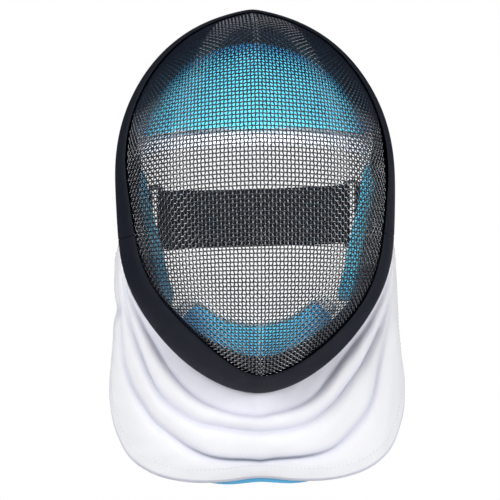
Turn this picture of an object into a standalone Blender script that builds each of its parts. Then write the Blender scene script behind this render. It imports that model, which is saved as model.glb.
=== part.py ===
"""Fencing mask: a creased wire-mesh face in a leather-look trim, a quilted bib under the chin, and the
padding, elastic strap and rings inside.

Metres, +Z up, the face looks along -Y. The origin is where the crown of the head bears on the crown pad.
The tables below are caliper notes taken from the front: side, depth behind the foremost point of the face,
and height over the level of the jaw. place() turns such a note into a point of the part."""

from collections import namedtuple
from functools import cache
from math import cos, exp, pi, radians, sin

import bmesh
import bpy
import numpy as np

# ---- driving dimensions (metres, degrees) ----
NOSE_BACK = 0.152  # the foremost point lies this far in front of the origin
NOSE_DOWN = 0.1203  # and this far below it
NOSE_HEIGHT = 0.040  # its height in the caliper notes below, whose zero is the level of the jaw

CREASE_SLOPE = 0.50  # slope of each cheek right beside the central crease
CREASE_WIDTH = 0.030  # the crease fades over this width

MESH_WALL = 0.0020
MESH_RINGS = 12
ANGLE_STEP = 7.5
BIB_STEP = 4.5

TRIM_CLEAR = 0.0008
TRIM_WALL = 0.0018
TRIM_TURN_IN = 0.012  # width of the trim's inner leg
TRIM_EDGE = 0.0036  # how far the fold stands past the wire's edge
TRIM_SOFTEN = 0.0006
TRIM_JOINT = -15.0  # the trims meet at the ears, at this angle about the nose
JOINT_GAP = 0.15  # degrees left on each side of that joint

BIB_WALL = 0.0040
CHIN_SEAT = 0.0076  # the bib leaves the rim this far behind its edge, at the chin
SIDE_SEAT = 0.0060  # and this far at the sides, where it also stands a little proud
SEAT_FROM, SEAT_OVER = -84.0, 34.0  # the angles over which the one becomes the other
SIDE_PROUD = 0.001
BIB_END = -17.0
CALM_FROM, CALM_OVER = -22.0, 43.0  # the folds die out towards the ears over these angles
BIB_SWELL = 0.005
NECK = (0.0, 0.155, -0.060)  # a point of the neck, which every part of the bib faces away from
BIB_ROWS = 17
LINING_WALL = 0.0014
LINING_INSET = 0.0044
LINING_DROP = 0.0042  # the lining shows this far below the hem at the middle
LINING_REACH = 0.045  # and up to this far to each side
LINING_TUCK = 0.002  # elsewhere it ends this far above it

PAD_WALL = 0.006
COVER_WALL = 0.0014
CROWN_HALF_WIDTH = 0.085
CROWN_HEIGHT = 0.0722
CROWN_LOW = 0.0919
CROWN_END = 0.94
CROWN_LAST_ANGLE = 30.0
CROWN_DEPTH = 0.135
CROWN_LEAN = 0.018
CROWN_HOLLOW = 0.026
CROWN_SWELL = 0.008
CROWN_REACH = 0.012  # the pad starts this far inside the rim
BINDING_WALL = 0.0085
BINDING_HEIGHT = 0.0115
BINDING_GAIN = 0.004  # it is this much taller at its ends
BINDING_FLARE = 0.003
BINDING_SET = 0.0012  # it sits this far behind and under the pad's edge

STRAP_WALL = 0.0016
STRAP_WIDTH = 0.048
STRAP_LEVEL = 0.0267
STRAP_TILT = 0.017  # rise per metre to the right
STRAP_BOW = 0.022
RING_X, RING_DEPTH = 0.0801, 0.1530
RING_HEIGHT, RING_WIDTH, RING_BAR = 0.0530, 0.0110, 0.0015  # the last is the bar's radius
RING_CORNER = 0.003
RING_TURN = 25.0
STRAP_TAIL, TAB_TAIL = 0.022, 0.009  # what is folded back past each ring
TAB_ANCHOR = (0.0985, 0.1424)  # side and depth of a tab's other end
TAB_LIFT = 0.0012
TAB_INSET = 0.002  # a tab is this much narrower than the strap

GAP = 0.0005

Rim = namedtuple("Rim", "angle reach slope bend")  # slope at the rim, and how late the wall turns back
RIM = [
    Rim(-90, 0.1463, 68.0, 1.63),
    Rim(-75, 0.1401, 67.5, 1.60),
    Rim(-60, 0.1295, 67.0, 1.51),
    Rim(-45, 0.1204, 67.5, 1.43),
    Rim(-30, 0.1133, 69.0, 1.35),
    Rim(-15, 0.1067, 72.0, 1.31),
    Rim(0, 0.1049, 74.5, 1.34),
    Rim(15, 0.1094, 76.5, 1.40),
    Rim(30, 0.1170, 78.0, 1.53),
    Rim(45, 0.1263, 79.5, 1.65),
    Rim(60, 0.1363, 81.0, 1.79),
    Rim(75, 0.1449, 82.5, 1.89),
    Rim(90, 0.1503, 83.0, 1.93),
]

Trim = namedtuple("Trim", "angle left right bulk")  # bulk: how much fuller the strip is at the rim
UPPER_TRIM = [
    Trim(-15, 0.0297, 0.0207, 0.0020),
    Trim(0, 0.0275, 0.0187, 0.0015),
    Trim(30, 0.0240, 0.0205, 0.0008),
    Trim(60, 0.0230, 0.0230, 0.0003),
    Trim(90, 0.0230, 0.0230, 0.0000),
]
CHIN_TRIM = [
    Trim(-90, 0.0268, 0.0268, 0.0022),
    Trim(-75, 0.0400, 0.0285, 0.0022),
    Trim(-60, 0.0398, 0.0255, 0.0022),
    Trim(-45, 0.0345, 0.0205, 0.0022),
    Trim(-30, 0.0312, 0.0212, 0.0022),
    Trim(-15, 0.0297, 0.0207, 0.0020),
]

Hem = namedtuple("Hem", "angle side depth height")
HEM = [
    Hem(-90, 0.0000, 0.089, -0.1755),
    Hem(-84, 0.0217, 0.090, -0.1784),
    Hem(-78, 0.0455, 0.093, -0.1789),
    Hem(-70, 0.0771, 0.100, -0.1745),
    Hem(-63, 0.0984, 0.108, -0.1621),
    Hem(-57, 0.1078, 0.115, -0.1463),
    Hem(-50, 0.1137, 0.122, -0.1246),
    Hem(-43, 0.1142, 0.127, -0.1018),
    Hem(-34, 0.1112, 0.130, -0.0742),
    Hem(-25, 0.1098, 0.130, -0.0396),
    Hem(-17, 0.1093, 0.128, -0.0059),
]

Fold = namedtuple("Fold", "down relief")
FOLDS = [
    Fold(0.00, 0.0000),
    Fold(0.12, 0.0042),
    Fold(0.25, 0.0002),
    Fold(0.35, 0.0048),
    Fold(0.46, 0.0000),
    Fold(0.62, 0.0062),
    Fold(0.78, 0.0004),
    Fold(0.86, 0.0028),
    Fold(0.93, 0.0006),
    Fold(1.00, 0.0010),
]

CoverEdge = namedtuple("CoverEdge", "outside proud tuck")  # the cover's rows outside the rim
COVER_EDGES = [
    CoverEdge(0.0050, 0.0000, 0.0025),
    CoverEdge(0.0140, 0.0014, 0.0080),
]
CoverRow = namedtuple("CoverRow", "down stand")  # and how far its other rows stand off the pad
COVER_ROWS = [
    CoverRow(0.02, 0.024),
    CoverRow(0.22, 0.017),
    CoverRow(0.45, 0.009),
    CoverRow(0.72, 0.004),
    CoverRow(1.00, 0.000),
]

Opening = namedtuple("Opening", "height half_width")
OPENING = [
    Opening(-0.0425, 0.0655),
    Opening(-0.0267, 0.0703),
    Opening(0.0000, 0.0763),
    Opening(0.0484, 0.0872),
    Opening(0.0730, 0.0901),
]

SIDE_LOW, SIDE_HIGH = -0.0425, 0.0680  # the side pads run between these heights
SIDE_FRONT, SIDE_BACK = 0.093, 0.135  # and between these depths
SIDE_SPREAD = 0.006
FLAP_BACK, FLAP_FOLD = 0.1363, 0.1370
FLAP_TURN = 0.0045  # they turn forward this far inside the rim
FLAP_RISE = 0.018  # the flaps' outer edge climbs this much more than their inner one

ChinEdge = namedtuple("ChinEdge", "half_width depth height sweep rise")  # the last two at its ends
CHIN_FRONT = ChinEdge(0.0475, 0.079, -0.088, 0.006, 0.015)
CHIN_REAR = ChinEdge(0.0603, 0.118, -0.0613, -0.002, 0.015)
CHIN_SAG = 0.004
CHIN_BINDING = 0.0036

Finish = namedtuple("Finish", "colour roughness metallic")
STEEL = Finish((0.030, 0.031, 0.034), 0.35, 0.9)
BLACK_LEATHER = Finish((0.018, 0.020, 0.026), 0.45, 0.0)
WHITE_CLOTH = Finish((0.86, 0.86, 0.90), 0.80, 0.0)
BLUE_CLOTH = Finish((0.10, 0.56, 0.82), 0.85, 0.0)
GREY_CLOTH = Finish((0.62, 0.64, 0.68), 0.80, 0.0)
BLACK_ELASTIC = Finish((0.015, 0.015, 0.018), 0.75, 0.0)
BLACK_METAL = Finish((0.020, 0.020, 0.022), 0.40, 0.8)


# ---- curves and the face's surface ----
def spline(knots, values):
    """A smooth curve through the knots, free at both ends."""
    knots, values = np.array(knots, float), np.array(values, float)
    gaps = np.diff(knots)
    rises = np.diff(values) / gaps
    count = len(knots)
    system, right = np.eye(count), np.zeros(count)
    for i in range(1, count - 1):
        system[i, i - 1 : i + 2] = gaps[i - 1], 2 * (gaps[i - 1] + gaps[i]), gaps[i]
        right[i] = 6 * (rises[i] - rises[i - 1])
    bends = np.linalg.solve(system, right)

    def at(where):
        i = int(np.clip(np.searchsorted(knots, where) - 1, 0, count - 2))
        step, into = gaps[i], where - knots[i]
        slope = rises[i] - step * (2 * bends[i] + bends[i + 1]) / 6
        curl = (bends[i + 1] - bends[i]) / (6 * step)
        return values[i] + into * (slope + into * (bends[i] / 2 + into * curl))

    return at


def even_spline(rows, column):
    """The same through a table that is mirrored at the chin, so that it runs level there."""
    beyond = [(-180 - row.angle, getattr(row, column)) for row in rows[3:0:-1]]
    straight = [(row.angle, getattr(row, column)) for row in rows]
    return spline(*zip(*(beyond + straight)))


rim_reach = even_spline(RIM, "reach")
rim_slope = even_spline(RIM, "slope")
rim_bend = even_spline(RIM, "bend")
SHARES = np.linspace(0, 1, 121)


@cache
def fall(angle):
    """How far the wall has fallen back at each share of the way to the rim, per unit of reach."""
    lean = np.radians(rim_slope(angle)) * SHARES ** rim_bend(angle)
    steep = np.tan(lean)
    return np.append(0, np.cumsum((steep[1:] + steep[:-1]) / 2)) / (len(SHARES) - 1)


def place(side, depth, height):
    """A caliper note (side, depth behind the nose, height over the nose's zero) as a point of the part."""
    return np.array([side, depth - NOSE_BACK, height - NOSE_DOWN - NOSE_HEIGHT])


def face(angle, fraction):
    """A point of the wire face: angle about the nose from +X, fraction of the way to the rim."""
    reach = rim_reach(angle) * fraction
    side = reach * cos(radians(angle))
    crease = CREASE_SLOPE * CREASE_WIDTH * (1 - exp(-abs(side) / CREASE_WIDTH))
    depth = rim_reach(angle) * np.interp(fraction, SHARES, fall(angle)) + crease
    return place(side, depth, NOSE_HEIGHT + reach * sin(radians(angle)))


def unit(vector):
    return vector / np.linalg.norm(vector)


def frame(angle, inside=0.0):
    """Point, outward normal and rimward direction, this far inside the rim (outside it if negative)."""
    fractions = np.linspace(0.7, 1, 31)
    points = np.array([face(angle, f) for f in fractions])
    lengths = np.linalg.norm(np.diff(points, axis=0), axis=1)
    to_rim = np.append(np.cumsum(lengths[::-1])[::-1], 0)
    fraction = float(np.interp(-max(inside, 0.0), -to_rim, fractions))
    step = 1e-4
    turn = 0.05 if angle < 89 else -0.05
    rimward = unit(face(angle, fraction) - face(angle, fraction - step))
    around = (face(angle + turn, fraction) - face(angle, fraction)) / turn
    normal = unit(np.cross(around, rimward))
    if normal[1] > 0:
        normal = -normal
    return face(angle, fraction) + rimward * max(-inside, 0.0), normal, rimward


def beside_rim(angle, inside, proud, side=1):
    """A point this far inside the rim and this far out from the middle of the wire wall."""
    point, normal, _ = frame(angle, inside)
    point = point + normal * proud
    return np.array([0.0 if abs(angle) == 90 else side * point[0], point[1], point[2]])


# ---- objects ----
for old in list(bpy.data.objects):
    bpy.data.objects.remove(old, do_unlink=True)

collection = bpy.data.collections.new("fencing_mask")
bpy.context.scene.collection.children.link(collection)


def material(name, finish):
    made = bpy.data.materials.new(name)
    made.use_nodes = True
    shader = made.node_tree.nodes["Principled BSDF"]
    shader.inputs["Base Color"].default_value = (*finish.colour, 1.0)
    shader.inputs["Roughness"].default_value = finish.roughness
    shader.inputs["Metallic"].default_value = finish.metallic
    return made


def add(name, points, faces, finish):
    mesh = bpy.data.meshes.new(name)
    mesh.from_pydata([tuple(p) for p in points], [], faces)
    mesh.materials.append(material(name, finish))
    mesh.shade_smooth()
    obj = bpy.data.objects.new(name, mesh)
    collection.objects.link(obj)
    return obj


def mirrored(obj):
    mirror = obj.modifiers.new("Mirror", "MIRROR")
    mirror.merge_threshold = 0.0001
    return obj


def thickened(obj, wall):
    solid = obj.modifiers.new("Solidify", "SOLIDIFY")
    solid.thickness = wall
    solid.offset = 0.0
    solid.use_even_offset = True
    return obj


def rounded(obj, width, segments=2):
    bevel = obj.modifiers.new("Bevel", "BEVEL")
    bevel.width = width
    bevel.segments = segments
    bevel.limit_method = "ANGLE"
    bevel.angle_limit = radians(50)
    return obj


def grid_faces(rows, columns, around=False):
    """Quads between the rows of a grid, closed around its columns where it is a tube."""
    last = columns if around else columns - 1
    return [
        (
            i * columns + j,
            i * columns + (j + 1) % columns,
            (i + 1) * columns + (j + 1) % columns,
            (i + 1) * columns + j,
        )
        for i in range(rows - 1)
        for j in range(last)
    ]


def sheet(name, rows, wall, finish):
    """A wall of cloth or padding, from rows of points along its middle."""
    points = [p for row in rows for p in row]
    made = add(name, points, grid_faces(len(rows), len(rows[0])), finish)
    return thickened(made, wall)


def outward(obj):
    """Turns the faces of a closed or half shape outwards."""
    shape = bmesh.new()
    shape.from_mesh(obj.data)
    bmesh.ops.recalc_face_normals(shape, faces=shape.faces)
    shape.to_mesh(obj.data)
    shape.free()
    return obj


def whole(half):
    """Gives a half sheet its mirror, ahead of its wall."""
    mirrored(half)
    half.modifiers.move(len(half.modifiers) - 1, 0)
    return half


def tube(name, points, radius, finish, cyclic=False):
    """A round bar or cord along the points."""
    curve = bpy.data.curves.new(name, "CURVE")
    curve.dimensions = "3D"
    curve.bevel_depth = radius
    curve.bevel_resolution = 2
    curve.use_fill_caps = True
    path = curve.splines.new("POLY")
    path.points.add(len(points) - 1)
    for knot, point in zip(path.points, points):
        knot.co = (*point, 1.0)
    path.use_cyclic_u = cyclic
    curve.materials.append(material(name, finish))
    obj = bpy.data.objects.new(name, curve)
    collection.objects.link(obj)
    return obj


def on_axis(rows):
    """Puts the first point of each row of a half sheet on the mirror's plane."""
    for row in rows:
        row[0][0] = 0.0
    return rows


# ---- the wire face ----
def ring_fractions():
    """Fractions that lie evenly along the cheek, from the nose to the rim."""
    fractions = np.linspace(0, 1, 201)
    points = np.array([face(0, f) for f in fractions])
    lengths = np.linalg.norm(np.diff(points, axis=0), axis=1)
    along = np.append(0, np.cumsum(lengths))
    wanted = np.linspace(0, along[-1], MESH_RINGS + 1)[1:]
    return np.interp(wanted, along, fractions)


def half_angles(first, last, step=ANGLE_STEP):
    """The stations of a half between two angles, on the common steps."""
    between = np.arange(-90, 90 + step, step)
    kept = [a for a in between if first + 0.5 < a < last - 0.5]
    return [first, *kept, last]


def wire_face():
    angles = half_angles(-90.0, 90.0)
    points = [face(0, 0)]
    for fraction in ring_fractions():
        for angle in angles:
            point = face(angle, fraction)
            if abs(angle) == 90:
                point[0] = 0.0
            points.append(point)
    columns = len(angles)
    faces = [(0, 2 + j, 1 + j) for j in range(columns - 1)]
    faces += [
        tuple(1 + index for index in quad)
        for quad in grid_faces(MESH_RINGS, columns)
    ]
    thickened(mirrored(add("wire_mesh_face", points, faces, STEEL)), MESH_WALL)


# ---- the trims ----
def trim_section(width, bulk):
    """The folded strip around the wire's edge: (inside the rim, proud of the wall's middle)."""
    near = MESH_WALL / 2 + TRIM_CLEAR
    far = near + TRIM_WALL
    full = far + bulk
    return [
        (width, near),
        (width, far - TRIM_SOFTEN),
        (width * 0.93, far),
        (width * 0.45, far + bulk * 0.6),
        (0.0, full),
        (-TRIM_EDGE * 0.55, full * 0.8),
        (-TRIM_EDGE * 0.9, full * 0.4),
        (-TRIM_EDGE, 0.0),
        (-TRIM_EDGE * 0.7, -far * 0.7),
        (0.0, -far),
        (TRIM_TURN_IN * 0.9, -far),
        (TRIM_TURN_IN, -far + TRIM_SOFTEN),
        (TRIM_TURN_IN, -near),
        (-TRIM_CLEAR, -near),
        (-TRIM_CLEAR, near),
        (width * 0.5, near),
    ]


def trim(name, widths, angles, middle):
    """A folded strip from the left joint to the right one, past the middle station between them."""
    knots = [row.angle for row in widths]
    left = spline(knots, [row.left for row in widths])
    right = spline(knots, [row.right for row in widths])
    bulk = spline(knots, [row.bulk for row in widths])
    stations = [(angle, -1, left(angle)) for angle in angles]
    stations.append((middle, 1, right(middle)))
    stations += [(angle, 1, right(angle)) for angle in reversed(angles)]
    rows = [
        [beside_rim(angle, along, proud, side) for along, proud in trim_section(width, bulk(angle))]
        for angle, side, width in stations
    ]
    columns = len(rows[0])
    faces = grid_faces(len(rows), columns, around=True)
    faces += [tuple(range(start, start + columns)) for start in (0, (len(rows) - 1) * columns)]
    outward(add(name, [p for row in rows for p in row], faces, BLACK_LEATHER))


# ---- the bib ----
hem_side = spline([row.angle for row in HEM], [row.side for row in HEM])
hem_depth = spline([row.angle for row in HEM], [row.depth for row in HEM])
hem_height = spline([row.angle for row in HEM], [row.height for row in HEM])
fold_relief = spline([row.down for row in FOLDS], [row.relief for row in FOLDS])


def bib_base(angle, down, drop=0.0):
    """The bib without its folds, from the rim (down 0) to the hem (down 1)."""
    to_side = float(np.clip((angle - SEAT_FROM) / SEAT_OVER, 0, 1))
    top = beside_rim(angle, -(CHIN_SEAT + (SIDE_SEAT - CHIN_SEAT) * to_side), SIDE_PROUD * to_side)
    hem = place(hem_side(angle), hem_depth(angle), hem_height(angle) - drop)
    return top + (hem - top) * down


@cache
def bib_normal(angle):
    """The way the bib faces half way down, which all its folds follow."""
    step = 0.5 if angle < BIB_END - 0.6 else -0.5
    along = (bib_base(angle + step, 0.5) - bib_base(angle, 0.5)) / step
    down = bib_base(angle, 1.0) - bib_base(angle, 0.0)
    normal = unit(np.cross(down, along))
    outside = bib_base(angle, 0.5) - place(*NECK)
    return normal if np.dot(normal, outside) > 0 else -normal


def bib_point(angle, down, inset=0.0, folds=True, drop=0.0):
    """A point of the bib's middle surface, swollen and folded, or smooth and set inwards for the lining."""
    calm = np.clip((CALM_FROM - angle) / CALM_OVER, 0, 1)
    proud = BIB_SWELL * calm * sin(pi * down) - inset
    if folds:
        proud += calm * max(fold_relief(down), 0.0)
    point = bib_base(angle, down, drop) + bib_normal(angle) * proud
    return np.array([0.0 if angle == -90 else point[0], point[1], point[2]])


def bib():
    angles = half_angles(-90.0, BIB_END, BIB_STEP)
    downs = np.linspace(0, 1, BIB_ROWS)
    rows = [[bib_point(angle, down) for angle in angles] for down in downs]
    points = [p for row in rows for p in row]
    made = add("bib", points, grid_faces(len(rows), len(angles)), WHITE_CLOTH)
    thickened(mirrored(made), BIB_WALL)


def bib_lining():
    angles = half_angles(-90.0, BIB_END - 3, BIB_STEP)
    downs = np.linspace(0.06, 1, 7)
    rows = []
    for down in downs:
        row = []
        for angle in angles:
            shown = exp(-((hem_side(angle) / LINING_REACH) ** 4))
            drop = (LINING_DROP * shown - LINING_TUCK * (1 - shown)) * down**4
            row.append(bib_point(angle, down, LINING_INSET, folds=False, drop=drop))
        rows.append(row)
    points = [p for row in rows for p in row]
    made = add("bib_lining", points, grid_faces(len(rows), len(angles)), BLUE_CLOTH)
    thickened(mirrored(made), LINING_WALL)


# ---- the crown pad and its cover ----
def crown_panel(across, down):
    """The padded panel behind the crown: across 0 (middle) to 1 (side), down 0 (top seam) to 1 (lower edge)."""
    turn = across * pi / 2
    side = CROWN_HALF_WIDTH * sin(turn)
    depth = CROWN_DEPTH + CROWN_LEAN * cos(turn)
    top = np.array([side, depth, CROWN_LOW + CROWN_HEIGHT * cos(turn)])
    low = np.array([side, depth - 0.002 + CROWN_HOLLOW * cos(turn), CROWN_LOW + 0.007 * cos(turn)])
    middle = top + (low - top) * down
    middle[1] += CROWN_SWELL * cos(turn) * sin(pi * down)
    return place(*middle)


def crown_normal(across, down):
    step = 0.02
    along = crown_panel(across + step, down) - crown_panel(across - step, down)
    below = crown_panel(across, down + step) - crown_panel(across, down - step)
    normal = unit(np.cross(along, below))
    return normal if normal[1] > 0 else -normal


def crown_stations(count=11):
    return np.linspace(0, CROWN_END, count)


def crown_angle(across):
    return 90.0 + (CROWN_LAST_ANGLE - 90.0) * across / CROWN_END


def crown_pad():
    proud = -(MESH_WALL / 2 + TRIM_CLEAR + TRIM_WALL + GAP + PAD_WALL / 2)
    stations = crown_stations()
    rows = [[beside_rim(crown_angle(a), CROWN_REACH, proud) for a in stations]]
    tops = [crown_panel(a, 0) for a in stations]
    rows.append([first + (top - first) * 0.5 for first, top in zip(rows[0], tops)])
    rows += [[crown_panel(a, down) for a in stations] for down in (0, 0.25, 0.5, 0.75, 1)]
    whole(sheet("crown_pad", on_axis(rows), PAD_WALL, BLUE_CLOTH))


def crown_cover():
    stations = crown_stations()
    rows = [
        [beside_rim(crown_angle(a), -edge.outside, edge.proud - edge.tuck * a**2) for a in stations]
        for edge in COVER_EDGES
    ]
    clear = PAD_WALL / 2 + GAP + COVER_WALL / 2
    for down, stand in COVER_ROWS:
        rows.append(
            [crown_panel(a, down) + crown_normal(a, down) * (clear + stand * cos(a * pi / 2)) for a in stations]
        )
    whole(sheet("crown_cover", on_axis(rows), COVER_WALL, GREY_CLOTH))


def crown_binding():
    stations = np.linspace(0, 1, 12)
    rows = []
    for share in (0, 1):
        row = []
        for across in stations:
            edge = crown_panel(across * CROWN_END, 1)
            height = BINDING_HEIGHT + BINDING_GAIN * across**2
            row.append(edge + np.array([BINDING_FLARE * across**3, BINDING_SET, -BINDING_SET - share * height]))
        rows.append(row)
    made = whole(sheet("crown_binding", on_axis(rows), BINDING_WALL, WHITE_CLOTH))
    rounded(made, 0.0018)


# ---- side padding ----
opening_half = spline([row.height for row in OPENING], [row.half_width for row in OPENING])


def rim_angle_at(height):
    """The rim's angle at a height, above the chin."""
    angles = np.linspace(-70, 60, 261)
    heights = [face(a, 1.0)[2] for a in angles]
    return float(np.interp(place(0, 0, height)[2], heights, angles))


def side_parts(label, side):
    heights = np.linspace(SIDE_LOW, SIDE_HIGH, 12)
    pad, flap = [], []
    for height in heights:
        half = opening_half(height)
        front = place(side * (half + SIDE_SPREAD), SIDE_FRONT, height)
        pad.append([front, place(side * half, SIDE_BACK, height)])
        rise = FLAP_RISE * ((height - SIDE_LOW) / (SIDE_HIGH - SIDE_LOW)) ** 3
        angle = rim_angle_at(height + rise)
        edge = beside_rim(angle, 0.004, -(MESH_WALL / 2 + TRIM_CLEAR + TRIM_WALL + 1.4 * GAP + COVER_WALL / 2))
        flap.append(
            [
                place(side * (half + 0.001), FLAP_BACK, height),
                place(side * (edge[0] - FLAP_TURN), FLAP_FOLD, height + rise),
                np.array([side * edge[0], edge[1], edge[2]]),
            ]
        )
    rounded(sheet(f"side_pad_{label}", pad, PAD_WALL, BLUE_CLOTH), 0.002)
    sheet(f"side_flap_{label}", flap, COVER_WALL, WHITE_CLOTH)


# ---- chin pad ----
def chin_pad_point(across, back):
    """The pad under the jaw: across 0 to 1, back 0 (front, low) to 1 (rear, high)."""
    front, rear = (
        np.array([e.half_width * across, e.depth + e.sweep * across**2, e.height + e.rise * across**2])
        for e in (CHIN_FRONT, CHIN_REAR)
    )
    middle = front + (rear - front) * back
    middle[2] -= CHIN_SAG * sin(pi * back)
    return place(*middle)


def chin_parts():
    stations = np.linspace(0, 1, 9)
    rows = [[chin_pad_point(a, back) for a in stations] for back in (0, 0.33, 0.67, 1)]
    rounded(whole(sheet("chin_pad", on_axis(rows), PAD_WALL, BLUE_CLOTH)), 0.002)
    edge = []
    for across in np.linspace(-1, 1, 17):
        point = chin_pad_point(abs(across), 1)
        rise = unit(chin_pad_point(abs(across), 1) - chin_pad_point(abs(across), 0.67))
        point = point + rise * (CHIN_BINDING + 2 * GAP)
        edge.append(np.array([point[0] * np.sign(across), point[1], point[2]]))
    tube("chin_pad_binding", edge, CHIN_BINDING, WHITE_CLOTH)


# ---- strap, rings and tabs ----
def ring_bar(side, inward):
    """The middle of a ring's inner or outer bar, seen from above, as (side, depth)."""
    reach = RING_WIDTH / 2 * (1 if inward else -1)
    return np.array(
        [
            side * (RING_X - reach * cos(radians(RING_TURN))),
            RING_DEPTH + reach * sin(radians(RING_TURN)),
        ]
    )


def ring(label, side):
    """A rectangular wire ring with rounded corners, standing on edge."""
    outer, inner = ring_bar(side, False), ring_bar(side, True)
    steps = 4
    points = []
    for index in range(4):
        x_sign = 1 if index in (0, 3) else -1
        z_sign = 1 if index < 2 else -1
        for step in range(steps + 1):
            turn = radians(90 * (index + step / steps))
            across = x_sign * (RING_WIDTH / 2 - RING_CORNER) + RING_CORNER * cos(turn)
            up = z_sign * (RING_HEIGHT / 2 - RING_CORNER) + RING_CORNER * sin(turn)
            flat = (outer + inner) / 2 + (inner - outer) / RING_WIDTH * across
            points.append(place(flat[0], flat[1], STRAP_LEVEL + STRAP_TILT * flat[0] + up))
    tube(f"strap_ring_{label}", points, RING_BAR, BLACK_METAL, cyclic=True)


def hooked(bar, towards, radius, tail, apart):
    """A flat run that comes from 'towards', goes round the bar and lies back on itself."""
    along = (towards - bar) / np.linalg.norm(towards - bar)
    aside = np.array([-along[1], along[0]])
    points = [bar + along * tail - aside * (radius - apart)]
    points.append(bar + along * radius * 2.2 - aside * (radius - apart * 0.5))
    for step in range(9):
        turn = radians(-90 - 180 * step / 8)
        points.append(bar + along * radius * cos(turn) + aside * radius * sin(turn))
    return points


def band(name, path, width, wall, finish):
    """A flat band standing on edge, along a path seen from above."""
    rows = []
    for share in (-0.5, 0.5):
        rows.append([place(x, y, STRAP_LEVEL + STRAP_TILT * x + share * width) for x, y in path])
    sheet(name, rows, wall, finish)


def back_strap():
    """The elastic behind the head, each end turned round its ring's inner bar and back inside itself."""
    radius = RING_BAR + GAP + STRAP_WALL / 2
    bar = ring_bar(-1, True)
    run = []
    for share in np.linspace(-0.86, 0.86, 15):
        depth = bar[1] + STRAP_BOW * (1 - share**2) + radius * (1 - share**2) ** 0.5
        run.append(np.array([abs(bar[0]) * share, depth]))
    left = hooked(bar, run[0] - np.array([0, radius]), radius, STRAP_TAIL, radius * 0.9)
    right = [np.array([-side, depth]) for side, depth in reversed(left)]
    band("back_strap", [*left, *run, *right], STRAP_WIDTH, STRAP_WALL, BLACK_ELASTIC)


def anchor_tab(label, side):
    bar = ring_bar(side, False)
    radius = RING_BAR + GAP + STRAP_WALL / 2
    anchor = np.array([side * TAB_ANCHOR[0], TAB_ANCHOR[1]])
    path = hooked(bar, anchor, radius, TAB_TAIL, radius * 0.8)
    along = unit(anchor - bar)
    aside = np.array([-along[1], along[0]])
    path = [*path, bar + (anchor - bar) * 0.55 + aside * radius, anchor + aside * TAB_LIFT]
    band(f"anchor_tab_{label}", path, STRAP_WIDTH - TAB_INSET, STRAP_WALL, BLACK_ELASTIC)


wire_face()
trim("upper_trim", UPPER_TRIM, half_angles(TRIM_JOINT + JOINT_GAP, 90.0)[:-1], 90.0)
trim("chin_trim", CHIN_TRIM, half_angles(-90.0, TRIM_JOINT - JOINT_GAP)[:0:-1], -90.0)
bib()
bib_lining()
crown_pad()
crown_cover()
crown_binding()
for LABEL, SIDE in (("left", -1), ("right", 1)):
    side_parts(LABEL, SIDE)
    ring(LABEL, SIDE)
    anchor_tab(LABEL, SIDE)
chin_parts()
back_strap()
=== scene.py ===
# %% [markdown]
# # A fencing mask
# A face of woven steel wire, bent over a former so that a crease runs down its middle, is bound at its edge
# with a folded vinyl trim. A quilted bib hangs under the chin, and inside are blue pads, a grey cover over the
# crown, and a black elastic that holds the mask on the back of the head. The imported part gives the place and
# size of every piece. This script gives each piece its real surface: the wires one by one, cloth that is
# puffed by simulation, folds and stitches.

from functools import cache
from math import cos, exp, pi, radians, sin

import bmesh
import bpy
import numpy as np
from mathutils import Matrix, Vector
from mathutils.kdtree import KDTree


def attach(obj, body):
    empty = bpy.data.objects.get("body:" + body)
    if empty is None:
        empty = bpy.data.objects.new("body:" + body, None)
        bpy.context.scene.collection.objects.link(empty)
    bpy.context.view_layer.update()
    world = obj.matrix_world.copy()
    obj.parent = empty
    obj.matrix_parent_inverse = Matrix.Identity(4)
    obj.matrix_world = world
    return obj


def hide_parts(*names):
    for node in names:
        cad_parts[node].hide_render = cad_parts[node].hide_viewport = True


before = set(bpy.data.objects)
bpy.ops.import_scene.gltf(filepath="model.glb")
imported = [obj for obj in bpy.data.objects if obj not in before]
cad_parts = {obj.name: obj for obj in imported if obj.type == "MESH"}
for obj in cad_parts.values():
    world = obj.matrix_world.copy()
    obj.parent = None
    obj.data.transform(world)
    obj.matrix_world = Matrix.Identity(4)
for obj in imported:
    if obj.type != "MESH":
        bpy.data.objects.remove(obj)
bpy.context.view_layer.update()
print("nodes of the packed part:", len(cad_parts))

# %% [markdown]
# ## Where things are
# Whoever measures such a mask lays it on its back and reads each point with a caliper: how far to the side,
# how deep behind the foremost point, and how high over the jaw. place() turns such a note into the part's own
# frame, where the face looks along -Y and the origin is where the crown of the head bears on its pad.

# %% Caliper notes to points
NOSE_BACK, NOSE_DOWN, NOSE_HEIGHT = 0.152, 0.1203, 0.040


def place(side, depth, height):
    """A caliper note, or arrays of them, as points of the part."""
    back, up = np.subtract(depth, NOSE_BACK), np.subtract(height, NOSE_DOWN + NOSE_HEIGHT)
    return np.stack(np.broadcast_arrays(side, back, up), -1)


def unit(vector):
    return vector / np.linalg.norm(vector, axis=-1, keepdims=True)


NOSE = place(0, 0, NOSE_HEIGHT)
print("the nose is at", NOSE.round(4).tolist())

# %% [markdown]
# ## The camera
# The picture was taken a little from the wearer's right, level with the mouth, from so far away that the
# cheeks hardly foreshorten. A long lens at 1.2 m does that. The camera is set by its aim point and by how much
# of the world one pixel covers there, because both can be read from the size of a wire cell.

# %% Camera
VIEW_TURN, VIEW_ROLL, VIEW_DISTANCE = radians(1.8), radians(0.8), 1.2
PICTURE, PIXEL = 500, 0.7226e-3  # pixels across, and what one of them covers at the nose
AIM_SIDE, AIM_DOWN = 0.0083, 0.040
SENSOR = 36.0


def new_object(name, data):
    obj = bpy.data.objects.new(name, data)
    bpy.context.scene.collection.objects.link(obj)
    return obj


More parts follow.
